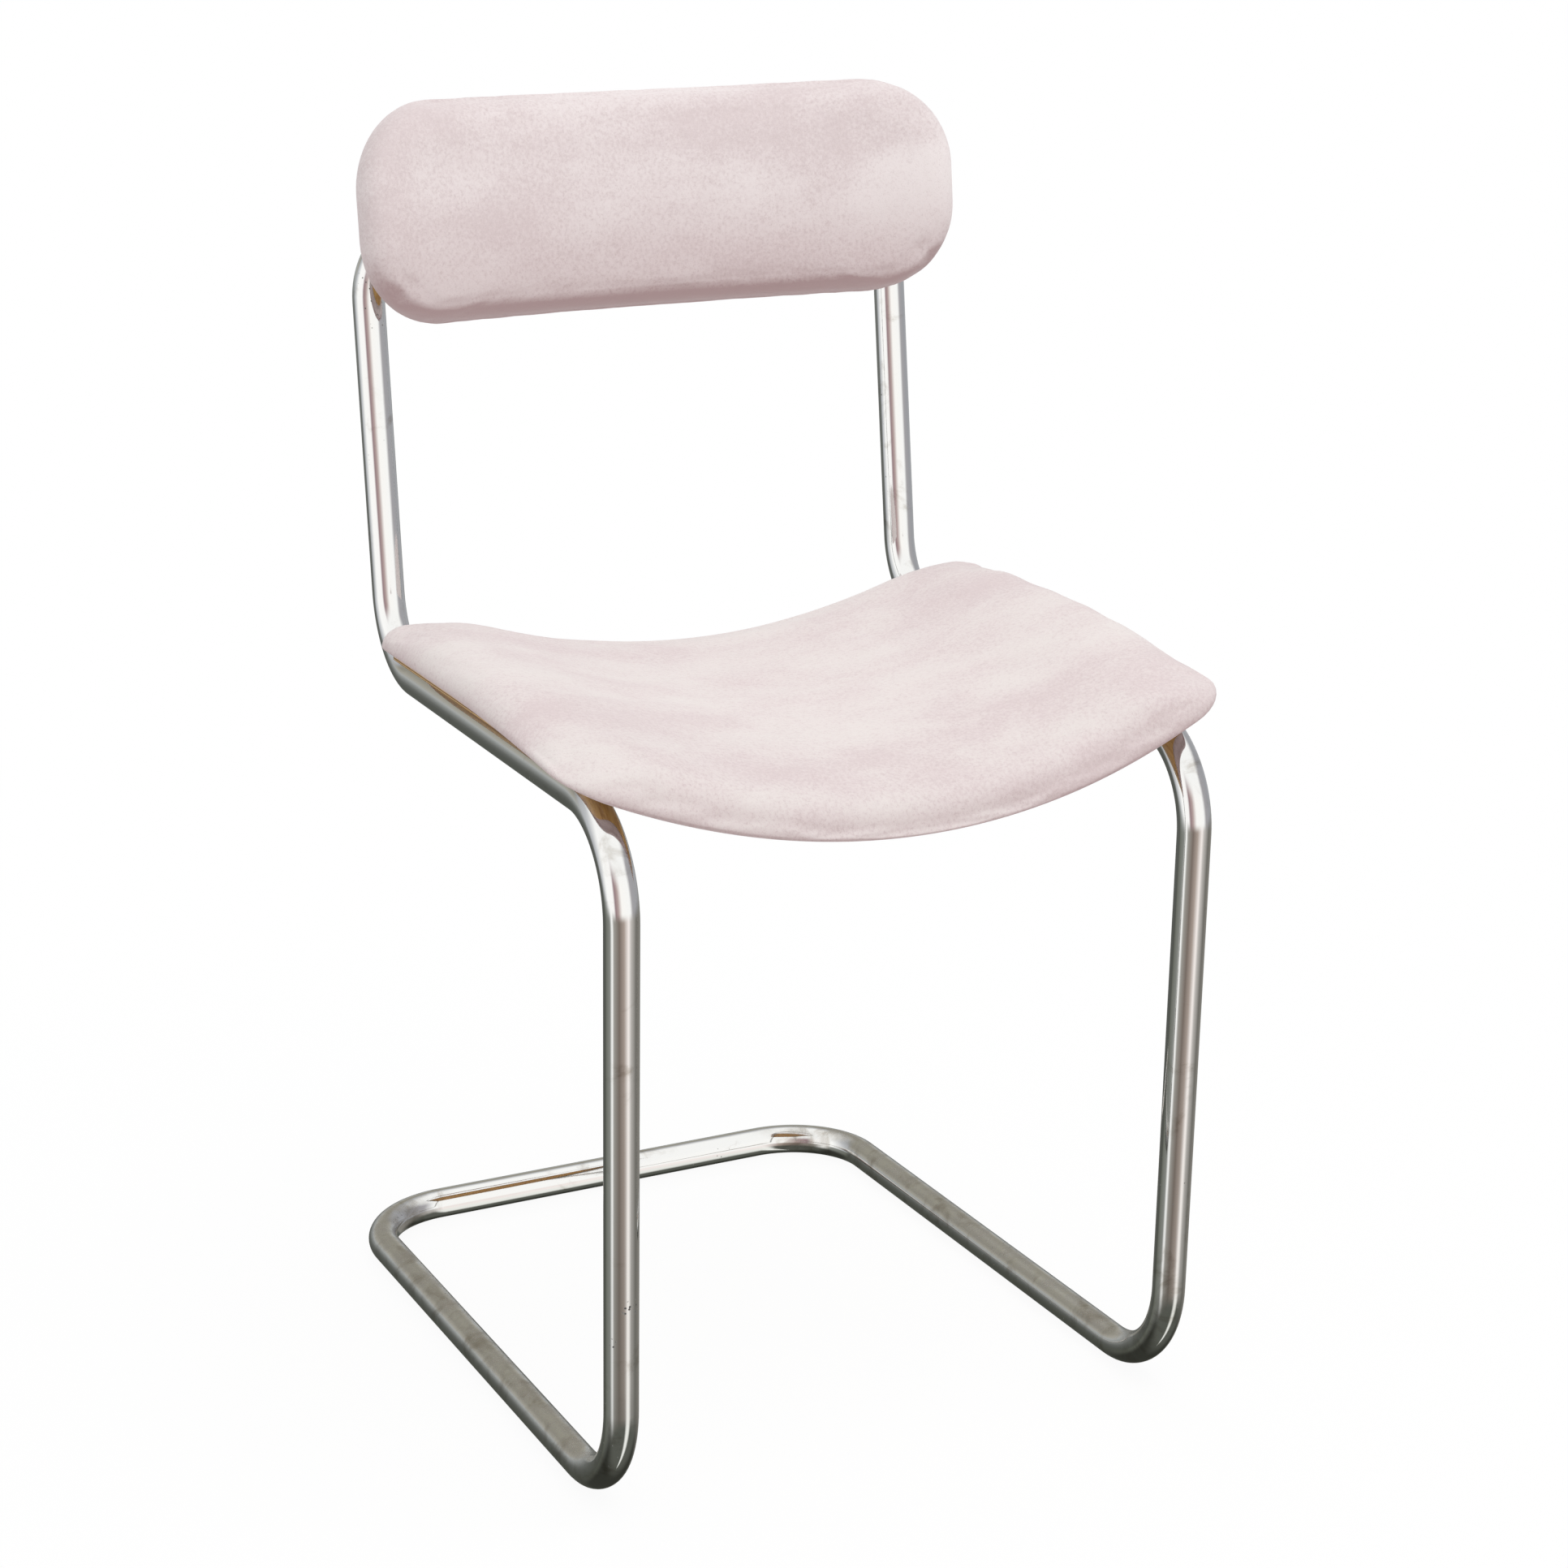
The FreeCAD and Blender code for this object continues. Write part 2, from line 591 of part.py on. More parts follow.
def back_staple_places():
    """Staples round the rear of the back board, just behind the turned-under cover."""
    outline = back_prism(size("staple_setback")).slice(BACKWARD, 0.0)[0]
    lift = cover_low - size("staple_wire") / 2 - size("contact_gap")

    def point(flat):
        radius = size("back_curve") - lift
        return Vector(flat.x, back_centre_y + math.sqrt(radius ** 2 - flat.x ** 2), flat.z)

    def inward(flat):
        return Vector(-flat.x, back_centre_y, 0).normalize()

    return staple_places(outline, point, inward)


# The nodes
nodes = []


def node(name, shape, placement=None):
    """Adds one named sub-part, its shape given in the frame of that placement."""
    feature = doc.addObject("Part::Feature", name)
    feature.Label = name
    feature.Shape = shape
    if placement is not None:
        feature.Placement = placement
    nodes.append(feature)
    return feature


def group(shapes):
    """Several separate solids as one shape."""
    return Part.makeCompound([solid for shape in shapes for solid in shape.Solids])


def moved(shape, placement):
    """The shape carried from a sub-assembly's own frame into the chair's frame."""
    carried = shape.copy()
    carried.Placement = placement.multiply(carried.Placement)
    return carried


def make_frame_tube():
    """The hollow tube, drilled for the screws of the seat and the backrest and for the two pins."""
    path = frame_path()
    tube = swept(path, tube_radius).cut(swept(path, bore_radius))
    reach = 2 * tube_radius
    radius = size("screw_diameter") / 2 + size("screw_play")
    head_radius = size("head_diameter") / 2 + size("head_room")
    holes = [moved(line.rod(0, reach, radius), seat_frame()) for line in seat_lines]
    holes += [moved(line.rod(-reach, 0, head_radius), seat_frame()) for line in seat_lines]
    holes += [moved(line.rod(-reach, reach, radius), back_frame()) for line in back_lines]
    holes += [moved(hole, back_frame()) for hole in pin_holes()]
    node("frame_tube", tube.cut(holes))


def pin_places():
    """Where the two cross pins cross the centre line of the bar."""
    return [Vector(side * size("pin_spread") / 2, 0, 0) for side in (-1, 1)]


def pin_holes():
    """Holes of the cross pins, through the tube and the sleeve in it."""
    reach = 2 * tube_radius
    radius = size("pin_diameter") / 2 + size("contact_gap")
    return [rod(place, UP, -reach, reach, radius) for place in pin_places()]


def make_joint():
    """The sleeve inside the joint of the tube and its cross pins."""
    half = size("spigot_length") / 2
    radius = bore_radius - size("spigot_play")
    sleeve = rod(Vector(0, 0, 0), ACROSS, -half, half, radius)
    sleeve = sleeve.cut([rod(Vector(0, 0, 0), ACROSS, -half, half, radius - size("spigot_wall"))]
                        + pin_holes())
    node("joint_spigot", sleeve, back_frame())
    pins = []
    for place in pin_places():
        copy = pin.Shape.copy()
        copy.Placement = FreeCAD.Placement(place, FreeCAD.Rotation()).multiply(copy.Placement)
        pins.append(copy)
    node("joint_pins", group(pins), back_frame())


def make_cushion(name, pad, layer, lines, places, shell, placement):
    """The closing shell, board, foam, cover and staples of the seat or of the backrest."""
    staples = [staple_shape(*place) for place in places]
    slots = [leg for place in places for leg in staple_legs(*place, play=size("contact_gap"))]
    play = size("screw_play")
    shank_radius = size("screw_diameter") / 2 + play
    barrel_radius = size("nut_barrel_diameter") / 2 + size("contact_gap")
    recess_radius = size("nut_flange_diameter") / 2 + size("soft_gap")
    recess_high = size("nut_flange_thickness") + size("soft_gap")
    below = -tube_radius
    shell_holes = [line.rod(below, line.at(board_low), shank_radius) for line in lines]
    board_holes = [line.rod(line.at(size("shell_thickness")), line.at(board_high) + recess_high, barrel_radius)
                   for line in lines]
    recesses = [line.rod(line.at(board_low), line.at(board_high) + recess_high, recess_radius)
                for line in lines]

    core = pad(wrap)
    board_slab = layer(cover_low - wrap, board_high)
    foam_floor = layer(cover_low - wrap, board_high + size("contact_gap"))
    window = layer(cover_low - wrap, board_low, size("cover_margin"))
    board = core.common(board_slab).cut(board_holes).cut(slots)
    foam = core.cut(foam_floor).cut(recesses)
    cover = pad(0.0).cut(pad(size("cover_thickness"))).cut(window).cut(slots)
    node(f"{name}_shell", shell.cut(shell_holes), placement)
    node(f"{name}_board", board, placement)
    node(f"{name}_foam", foam, placement)
    node(f"{name}_cover", cover, placement)
    node(f"{name}_staples", group(staples), placement)


def make_fasteners(name, lines, screw, head_seat, saddle, shell_slab, placement):
    """Saddles, screws and tee nuts that hold the seat or the backrest to the tube."""
    play = size("contact_gap")
    saddles = [line.place(saddle, 0).cut(line.tube(play)).cut(shell_slab) for line in lines]
    node(f"{name}_saddles", group(saddles), placement)
    node(f"{name}_screws", group([line.place(screw, head_seat) for line in lines]), placement)
    flange_seat = [line.at(board_high) + 2 * play for line in lines]
    nuts = [line.place(tee_nut, distance) for line, distance in zip(lines, flange_seat)]
    node(f"{name}_tee_nuts", group(nuts), placement)


make_frame_tube()
make_joint()
seat_shell = seat_layer(0, size("shell_thickness"), size("shell_side_inset"), size("shell_end_inset"))
back_shell = back_layer(0, size("shell_thickness"), size("back_shell_inset"))
make_cushion("seat", seat_pad, seat_layer, seat_lines, seat_staple_places(), seat_shell, seat_frame())
make_cushion("back", back_pad, back_layer, back_lines, back_staple_places(), back_shell, back_frame())
make_fasteners("seat", seat_lines, seat_screw, seat_head, seat_saddle,
               seat_layer(0, size("shell_thickness")), seat_frame())
make_fasteners("back", back_lines, back_screw, back_head, back_saddle,
               back_layer(0, size("shell_thickness")), back_frame())
node("back_washers", group([line.place(washer, 0).cut(line.tube(size("contact_gap")))
                            for line in back_lines]), back_frame())
doc.recompute()

# Every object has to be sound before anything is written
for item in doc.Objects:
    if {"Invalid", "Error"} & set(item.State):
        raise RuntimeError(f"{item.Label} did not recompute: {item.State}")
for item in nodes:
    if item.Shape.isNull() or not item.Shape.isValid():
        raise RuntimeError(f"{item.Label} has no valid shape")

os.makedirs("parts", exist_ok=True)
for item in nodes:
    item.Shape.exportStep(f"parts/{item.Label}.step")
    print(f"{item.Label}: {len(item.Shape.Solids)} solids, {item.Shape.Volume / 1000:.2f} cm3")
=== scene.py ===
"""Looks of the cantilever dining chair: aged chrome tube, golden plywood and pale pink velvet.

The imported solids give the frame.  The tube, the plywood panels and the two velvet pads are made
here as finer surfaces in the same places; fasteners, sleeve and staples stay as they were packed.
Metres throughout.  +Z is up, the sitter faces -Y and the floor is at Z = 0.
"""

import logging
import math
from dataclasses import dataclass, field, replace
from enum import Enum
from typing import Any, Callable, Iterable

import bpy
import numpy as np
from mathutils import Matrix, Vector
from mathutils.kdtree import KDTree


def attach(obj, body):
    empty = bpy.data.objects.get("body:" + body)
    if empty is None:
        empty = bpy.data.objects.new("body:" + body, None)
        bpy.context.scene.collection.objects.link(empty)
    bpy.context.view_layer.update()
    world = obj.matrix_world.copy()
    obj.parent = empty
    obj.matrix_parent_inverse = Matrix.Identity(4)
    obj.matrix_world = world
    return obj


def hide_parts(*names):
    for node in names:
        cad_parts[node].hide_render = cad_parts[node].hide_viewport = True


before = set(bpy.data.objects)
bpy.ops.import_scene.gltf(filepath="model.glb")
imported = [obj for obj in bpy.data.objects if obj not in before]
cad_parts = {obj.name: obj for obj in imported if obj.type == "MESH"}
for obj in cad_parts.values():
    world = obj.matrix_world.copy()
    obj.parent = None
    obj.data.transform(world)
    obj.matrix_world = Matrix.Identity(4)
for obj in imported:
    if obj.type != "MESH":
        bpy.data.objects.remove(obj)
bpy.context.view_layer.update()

Array = np.ndarray
Piece = bpy.types.Object
log = logging.getLogger("chair")
MM = 0.001
FULL_TURN = 2 * math.pi


# Small tools for meshes
def unit(vectors: Array) -> Array:
    """Each row divided by its own length."""
    return vectors / np.linalg.norm(vectors, axis=-1, keepdims=True)


def smoothstep(low: float, high: float, values: Array) -> Array:
    """0 at low, 1 at high, and t*t*(3 - 2t) in between.

    Args:
        low: where the step starts.
        high: where it ends, which may be below low for a falling step.
        values: the numbers to map.

    Returns:
        The mapped numbers.
    """
    t = np.clip((values - low) / (high - low), 0.0, 1.0)
    return t * t * (3.0 - 2.0 * t)


def about(vector: Array, axis: Array, angles: Array) -> Array:
    """The vector turned about the axis by each angle, by Rodrigues' formula.

    Args:
        vector: x, y, z.
        axis: unit axis.
        angles: a column of angles in radians.

    Returns:
        One row for each angle.
    """
    along = axis * (axis @ vector)
    return along + (vector - along) * np.cos(angles) + np.cross(axis, vector) * np.sin(angles)


def turned_about_x(points: Array, degrees: float, origin: Array) -> Array:
    """Points of a sub-assembly's own frame carried into the chair's frame.

    Args:
        points: rows of x, y, z in the sub-assembly's frame.
        degrees: its turn about the X axis.
        origin: its origin in the chair's frame.

    Returns:
        The carried rows: y and z are turned by the angle and the origin is added.
    """
    angle = math.radians(degrees)
    cosine, sine = math.cos(angle), math.sin(angle)
    turn = np.array([[1, 0, 0], [0, cosine, sine], [0, -sine, cosine]])
    return points @ turn + origin


def ring_faces(rings: int, around: int) -> Array:
    """Quads of a grid of closed rings.

    Args:
        rings: number of rings.
        around: points in each ring.

    Returns:
        Rows of four indices; each quad joins two neighbours of a ring to the same two of the next.
    """
    ring, step = np.meshgrid(np.arange(rings - 1), np.arange(around), indexing="ij")
    ahead = (step + 1) % around
    quads = [ring * around + step, ring * around + ahead,
             (ring + 1) * around + ahead, (ring + 1) * around + step]
    return np.stack(quads, axis=-1).reshape(-1, 4)


def fan_faces(first: int, around: int, pole: int, turned: bool) -> Array:
    """Triangles that close one ring of a grid to a pole.

    Args:
        first: index of the ring's first point.
        around: points in the ring.
        pole: index of the pole.
        turned: whether the triangles face the other way.

    Returns:
        Rows of three indices.
    """
    here = np.arange(around)
    ahead = (here + 1) % around
    columns = [first + ahead, first + here] if turned else [first + here, first + ahead]
    return np.stack([*columns, np.full(around, pole)], axis=-1)


def mesh_object(name: str, points: Array, faces: Iterable[Array]) -> Piece:
    """A smooth-shaded mesh object at the origin.

    Args:
        name: the piece's name.
        points: rows of x, y, z.
        faces: arrays of face rows, each array with one face size.

    Returns:
        The object, linked to the scene.
    """
    mesh = bpy.data.meshes.new(name)
    mesh.from_pydata(points.tolist(), [], [row for rows in faces for row in rows.tolist()])
    mesh.validate()
    mesh.shade_smooth()
    piece = bpy.data.objects.new(name, mesh)
    bpy.context.scene.collection.objects.link(piece)
    return piece


def closed_rings(name: str, rings: Array, poles: Iterable[Array], turned: bool = False) -> Piece:
    """A closed piece of rings in a row, its first and its last ring each closed to a pole.

    Args:
        name: the piece's name.
        rings: points by ring and by place in the ring.
        poles: the two poles, each as one row of x, y, z.
        turned: whether the faces are turned, for rings that run the other way.

    Returns:
        The piece, with quads between the rings and triangles at the poles.
    """
    count, around = rings.shape[:2]
    quads = ring_faces(count, around)
    faces = [quads[:, ::-1] if turned else quads,
             fan_faces(0, around, count * around, not turned),
             fan_faces((count - 1) * around, around, count * around + 1, turned)]
    return mesh_object(name, np.vstack([rings.reshape(-1, 3), *poles]), faces)


def rows_of(items: Any, attribute: str) -> Array:
    """One vector of each item of a mesh, as rows of x, y, z."""
    flat = np.empty(len(items) * 3, np.float32)
    items.foreach_get(attribute, flat)
    return flat.reshape(-1, 3).astype(float)


def vertex_points(mesh: bpy.types.Mesh) -> Array:
    """The mesh's vertices as rows of x, y, z."""
    return rows_of(mesh.vertices, "co")


def vertex_normals(mesh: bpy.types.Mesh) -> Array:
    """The mesh's vertex normals as rows of x, y, z."""
    return rows_of(mesh.vertex_normals, "vector")


def set_points(mesh: bpy.types.Mesh, points: Array) -> None:
    """Writes rows of x, y, z back into the mesh."""
    mesh.vertices.foreach_set("co", points.astype(np.float32).ravel())
    mesh.update()


def applied(piece: Piece) -> None:
    """Replaces a piece's mesh by what its modifiers make of it, and removes them.

    Args:
        piece: the piece.
    """
    graph = bpy.context.evaluated_depsgraph_get()
    made = bpy.data.meshes.new_from_object(piece.evaluated_get(graph), depsgraph=graph)
    piece.modifiers.clear()
    piece.data = made


@dataclass(frozen=True)
class RoundedPath:
    """Straight runs through corner points, joined by tangent arcs of given radii.

    off_axis is any direction that the first run doesn't follow.
    """

    corners: Array
    radii: tuple[float, ...]
    closed: bool = False
    arc_steps: int = 24
    run_step: float = 20 * MM
    off_axis: tuple = (0.0, 0.31, 0.95)

    def bends(self) -> list[tuple[Array, Array, Array, float]]:
        """For each bend its start, centre, axis and angle.

        Returns:
            Tuples of start point, arc centre, unit axis of the turn and angle.  The arc leaves the
            run at radius * tan(angle / 2) before the corner.
        """
        count = len(self.corners)
        inner = range(count) if self.closed else range(1, count - 1)
        found = []
        for index, radius in zip(inner, self.radii):
            corner = self.corners[index]
            incoming = unit(corner - self.corners[index - 1])
            outgoing = unit(self.corners[(index + 1) % count] - corner)
            angle = math.acos(float(np.clip(incoming @ outgoing, -1, 1)))
            start = corner - incoming * (radius * math.tan(angle / 2))
            axis = unit(np.cross(incoming, outgoing))
            found.append((start, start + np.cross(axis, incoming) * radius, axis, angle))
        return found

    def _run(self, start: Array, end: Array, whole: bool) -> Array:
        """Even steps from start to end, the end itself only if whole."""
        count = max(2, int(np.linalg.norm(end - start) / self.run_step))
        return start + (end - start) * np.linspace(0, 1, count, endpoint=whole)[:, None]

    def sampled(self) -> tuple[Array, Array, Array]:
        """Points along the open path, each with two directions square to it.

        Returns:
            Three arrays of rows: points, first and second direction.  Along a run the directions
            stay as they are, and along a bend they turn about the bend's own axis.
        """
        here = self.corners[0]
        tangent = unit(self.corners[1] - here)
        first = unit(np.cross(tangent, self.off_axis))
        rows = []
        for start, centre, axis, angle in self.bends():
            run = self._run(here, start, False)
            rows.append((run, *(np.broadcast_to(part, run.shape) for part in (tangent, first))))
            turn = np.linspace(0, angle, self.arc_steps + 1)[:, None]
            arc = (centre + about(start - centre, axis, turn),
                   about(tangent, axis, turn), about(first, axis, turn))
            rows.append([part[:-1] for part in arc])
            here, tangent, first = (part[-1] for part in arc)
        run = self._run(here, self.corners[-1], True)
        rows.append((run, *(np.broadcast_to(part, run.shape) for part in (tangent, first))))
        points, tangents, firsts = (np.vstack(part) for part in zip(*rows))
        return points, firsts, np.cross(tangents, firsts)

    def outline(self, step: float) -> Array:
        """Evenly spaced points round a closed path.

        Args:
            step: wanted distance between neighbours.

        Returns:
            Rows of points, by linear interpolation over the length of arcs and runs.
        """
        loops = []
        for start, centre, axis, angle in self.bends():
            turn = np.linspace(0, angle, self.arc_steps + 1)[:, None]
            loops.append(centre + about(start - centre, axis, turn))
        points = np.vstack(loops + [loops[0][:1]])
        length = np.concatenate([[0], np.cumsum(np.linalg.norm(np.diff(points, axis=0), axis=1))])
        even = np.linspace(0, length[-1], int(length[-1] / step), endpoint=False)
        return np.stack([np.interp(even, length, column) for column in points.T], axis=-1)


# Shader maths
class Value:
    """A number or colour in a node tree, with operators that add its Math nodes."""

    def __init__(self, tree: "Tree", socket: bpy.types.NodeSocket) -> None:
        """Wraps a socket of that tree."""
        self.tree = tree
        self.socket = socket

    def _math(self, operation: str, *terms: Any) -> "Value":
        """One Math node on these terms."""
        return self.tree.add("ShaderNodeMath", {"operation": operation}, dict(enumerate(terms)))

    def __add__(self, other: Any) -> "Value":
        """Sum."""
        return self._math("ADD", self, other)

    __radd__ = __add__

    def __sub__(self, other: Any) -> "Value":
        """Difference."""
        return self._math("SUBTRACT", self, other)

    def __rsub__(self, other: Any) -> "Value":
        """Difference, the other way round."""
        return self._math("SUBTRACT", other, self)

    def __mul__(self, other: Any) -> "Value":
        """Product."""
        return self._math("MULTIPLY", self, other)

    __rmul__ = __mul__

    def __truediv__(self, other: Any) -> "Value":
        """Quotient."""
        return self._math("DIVIDE", self, other)

    def to_and_fro(self) -> "Value":
        """The value folded between 0 and 1."""
        return self._math("PINGPONG", self, 1.0)

    def step(self, low: float, high: float) -> "Value":
        """Smooth step from 0 at low to 1 at high.

        Args:
            low: input that gives 0.
            high: input that gives 1; below low for a falling step.

        Returns:
            The mapped value.
        """
        ends = (0, 1) if low < high else (1, 0)
        inputs = {"Value": self, "From Min": min(low, high), "From Max": max(low, high),
                  "To Min": ends[0], "To Max": ends[1]}
        return self.tree.add("ShaderNodeMapRange", {"interpolation_type": "SMOOTHSTEP"}, inputs)

    def clipped(self) -> "Value":
        """The value, held between 0 and 1."""
        return self.tree.add("ShaderNodeClamp", {}, {"Value": self})

    def axis(self, name: str) -> "Value":
        """One coordinate of a vector."""
        return self.tree.add("ShaderNodeSeparateXYZ", {}, {"Vector": self}, name)

    def part(self, name: str) -> "Value":
        """Another output of the same node."""
        return Value(self.tree, self.socket.node.outputs[name])


class Tree:
    """Adds nodes to one node tree."""

    def __init__(self, nodes: bpy.types.NodeTree) -> None:
        """Clears the tree and keeps it."""
        nodes.nodes.clear()
        self.nodes = nodes

    def add(self, kind: str, settings: dict[str, Any] | None = None,
            inputs: dict[Any, Any] | None = None, output: str | int = 0) -> Value:
        """One node of any type.

        Args:
            kind: the node's type.
            settings: attributes that are set first; "stops" holds a ramp's stops.
            inputs: values or links by the socket's name or number.
            output: the socket that is returned.

        Returns:
            The chosen output.
        """
        node = self.nodes.nodes.new(kind)
        for key, value in (settings or {}).items():
            if key == "stops":
                self._set_stops(node.color_ramp, value)
            else:
                setattr(node, key, value)
        for key, value in (inputs or {}).items():
            socket = node.inputs[key]
            if isinstance(value, Value):
                self.nodes.links.new(value.socket, socket)
            elif isinstance(value, tuple) and len(value) == 3 and socket.type == "RGBA":
                socket.default_value = (*value, 1.0)
            else:
                socket.default_value = value
        return Value(self, node.outputs[output] if node.outputs else None)

    @staticmethod
    def _set_stops(ramp: bpy.types.ColorRamp, stops: Iterable[tuple[float, tuple]]) -> None:
        """Gives a colour ramp its stops.

        Args:
            ramp: the ramp.
            stops: pairs of position and colour.
        """
        stops = list(stops)
        while len(ramp.elements) < len(stops):
            ramp.elements.new(1.0)
        for element, (position, colour) in zip(ramp.elements, stops):
            element.position = position
            element.color = (*colour, 1.0)

    def place(self, **inputs: tuple) -> Value:
        """Object coordinates through a Mapping node with these inputs."""
        start = self.add("ShaderNodeTexCoord", output="Object")
        return self.add("ShaderNodeMapping", {}, {"Vector": start, **inputs})

    def upward(self) -> Value:
        """How much the surface faces up, from -1 to 1."""
        return self.add("ShaderNodeNewGeometry", output="Normal").axis("Z")

    def noise(self, scale: float, detail: float = 4, rough: float = 0.5, warp: float = 0.0,
              vector: Value | None = None) -> Value:
        """A noise value.

        Args:
            scale: cells per metre.
            detail: octaves.
            rough: share of the finer octaves.
            warp: distortion.
            vector: where it is read; object coordinates if left out.

        Returns:
            The noise, about 0.5 on average.
        """
        inputs = {"Vector": vector or self.place(), "Scale": scale, "Detail": detail,
                  "Roughness": rough, "Distortion": warp}
        return self.add("ShaderNodeTexNoise", {}, inputs)

    def cells(self, scale: float) -> Value:
        """Distance from the middle of the nearest cell, of that many cells per metre."""
        return self.add("ShaderNodeTexVoronoi", {}, {"Vector": self.place(), "Scale": scale})

    def mix(self, share: Value | float, low: Any, high: Any) -> Value:
        """A colour between two colours.

        Args:
            share: 0 gives low and 1 gives high.
            low: colour or link.
            high: colour or link.

        Returns:
            The mixed colour.
        """
        return self.add("ShaderNodeMix", {"data_type": "RGBA"}, {0: share, 6: low, 7: high}, 2)

    def bump(self, height: Value, distance: float, strength: float = 1.0,
             below: Value | None = None) -> Value:
        """A normal bent by a height.

        Args:
            height: the height, in units of distance.
            distance: metres for a height of 1.
            strength: share of the effect.
            below: another bump's normal that this one adds to.

        Returns:
            The normal.
        """
        inputs: dict[Any, Any] = {"Height": height, "Distance": distance, "Strength": strength}
        if below is not None:
            inputs["Normal"] = below
        return self.add("ShaderNodeBump", {}, inputs)


def linear(*display: float) -> tuple[float, ...]:
    """A display colour of 0 to 255 as the linear colour that a shader takes."""
    shares = [level / 255 for level in display]
    return tuple(share / 12.92 if share <= 0.04045 else ((share + 0.055) / 1.055) ** 2.4
                 for share in shares)


WHITE = (1.0, 1.0, 1.0)


# Finishes.  A field that holds a noise gives its cells per metre, octaves, roughness and warp, and
# one that holds a step gives the inputs at which it is 0 and 1.
@dataclass(frozen=True)
class Finish:
    """What every finish has: a name, a material slot of the record and a shader."""

    name: str
    slot: str

    def surface(self, tree: Tree) -> dict[str, Any]:
        """The Principled shader's inputs; each finish gives its own."""
        raise NotImplementedError

    def material(self) -> bpy.types.Material:
        """The finish as a material, made once.

        Returns:
            The material, named as the finish.
        """
        found = bpy.data.materials.get(self.name)
        if found:
            return found
        made = bpy.data.materials.new(self.name)
        made.use_nodes = True
        tree = Tree(made.node_tree)
        shader = tree.add("ShaderNodeBsdfPrincipled", {}, self.surface(tree))
        tree.add("ShaderNodeOutputMaterial", {}, {"Surface": shader})
        return made


@dataclass(frozen=True)
class AgedChrome(Finish):
    """Polished chrome with stains, pits and fine scratches, and dust on the runners.

    Each mark is a place and a reach in which the chrome is pitted.
    """

    bright: tuple = linear(214, 214, 212)
    stained: tuple = linear(132, 120, 100)
    dust: tuple = linear(134, 126, 110)
    pit: tuple = linear(34, 28, 24)
    shine: float = 0.06
    clouds: tuple = (38, 6, 0.62, 0.6)
    spotted: tuple = (16, 2)
    grit: tuple = (46, 6, 0.65, 0.4)
    scratches: tuple = (900, 3, 0.7, 0.0)
    waves: tuple = (26, 2, 0.4)
    near_floor: tuple = (160 * MM, 50 * MM)
    squared_aside: tuple = (0.013, 0.030)
    pit_cells: float = 210.0
    speck_cells: float = 400.0
    marks: tuple = (
        (-195.5 * MM, -262.2 * MM, 152 * MM, 7 * MM),
        (-205.5 * MM, -256 * MM, 129 * MM, 4 * MM),
        (204 * MM, -262 * MM, 214 * MM, 5 * MM),
    )

    def surface(self, tree: Tree) -> dict[str, Any]:
        """Stains come from coarse noise, pits from small cells, scratches from stretched noise.

        Args:
            tree: the tree that the nodes go to.

        Returns:
            The shader's inputs.  Stains and dust grow on the runners, which lie near the floor and
            well to the side.
        """
        height, aside = tree.place().axis("Z"), tree.place().axis("X")
        low = height.step(*self.near_floor) * (aside * aside).step(*self.squared_aside)
        stain = (tree.noise(*self.clouds) + low * 0.10).step(0.56, 0.80)
        where = tree.noise(*self.spotted).step(0.56, 0.68)
        near = 0.0
        for *centre, reach in self.marks:
            away = tree.add("ShaderNodeVectorMath", {"operation": "DISTANCE"},
                            {0: tree.place(), 1: centre}, "Value")
            near = away.step(reach, reach * 0.6) + near
        pits = tree.cells(self.pit_cells).step(0.16, 0.06) * where
        specks = tree.cells(self.speck_cells).step(0.42, 0.26) * near
        pits = (pits + specks).clipped()
        drawn_out = tree.place(Scale=(1, 1, 0.03), Rotation=(0.1, 0.06, 0))
        scratch = tree.noise(*self.scratches, drawn_out)
        dusty = tree.upward().step(0.35, 0.95) * low * tree.noise(*self.grit).step(0.36, 0.66)
        clean = tree.mix(stain * 0.55, self.bright, self.stained)
        dulled = tree.mix(dusty * 0.55, clean, self.dust)
        scratched = scratch.step(0.6, 0.8) * 0.06
        wavy = tree.bump(tree.noise(*self.waves), 0.03 * MM)
        return {
            "Base Color": tree.mix(pits * 0.9, dulled, self.pit),
            "Metallic": 1.0 - pits * 0.6 - dusty * 0.2,
            "Roughness": self.shine + stain * 0.08 + dusty * 0.26 + scratched + pits * 0.4,
            "Normal": tree.bump(scratch - pits, 0.01 * MM, 0.6, wavy),
        }


@dataclass(frozen=True)
class Plating(Finish):
    """Zinc plated small steel parts, slightly cloudy."""

    colour: tuple = linear(176, 174, 166)
    cloud: tuple = linear(128, 124, 114)
    clouds: tuple = (160, 5, 0.6)
    grain: tuple = (1400, 2)

    def surface(self, tree: Tree) -> dict[str, Any]:
        """Cloudy patches change colour and roughness together.

        Args:
            tree: the tree that the nodes go to.

        Returns:
            The shader's inputs.
        """
        cloudy = tree.noise(*self.clouds).step(0.4, 0.7)
        return {
            "Base Color": tree.mix(cloudy, self.colour, self.cloud),
            "Metallic": 1.0,
            "Roughness": 0.28 + cloudy * 0.16,
            "Normal": tree.bump(tree.noise(*self.grain), 0.01 * MM),
        }


class Grain(Enum):
    """Which way the grain of a veneer runs, as factors that stretch its noise."""

    ACROSS = (3.0, 60.0, 60.0)
    LENGTHWISE = (60.0, 3.0, 60.0)


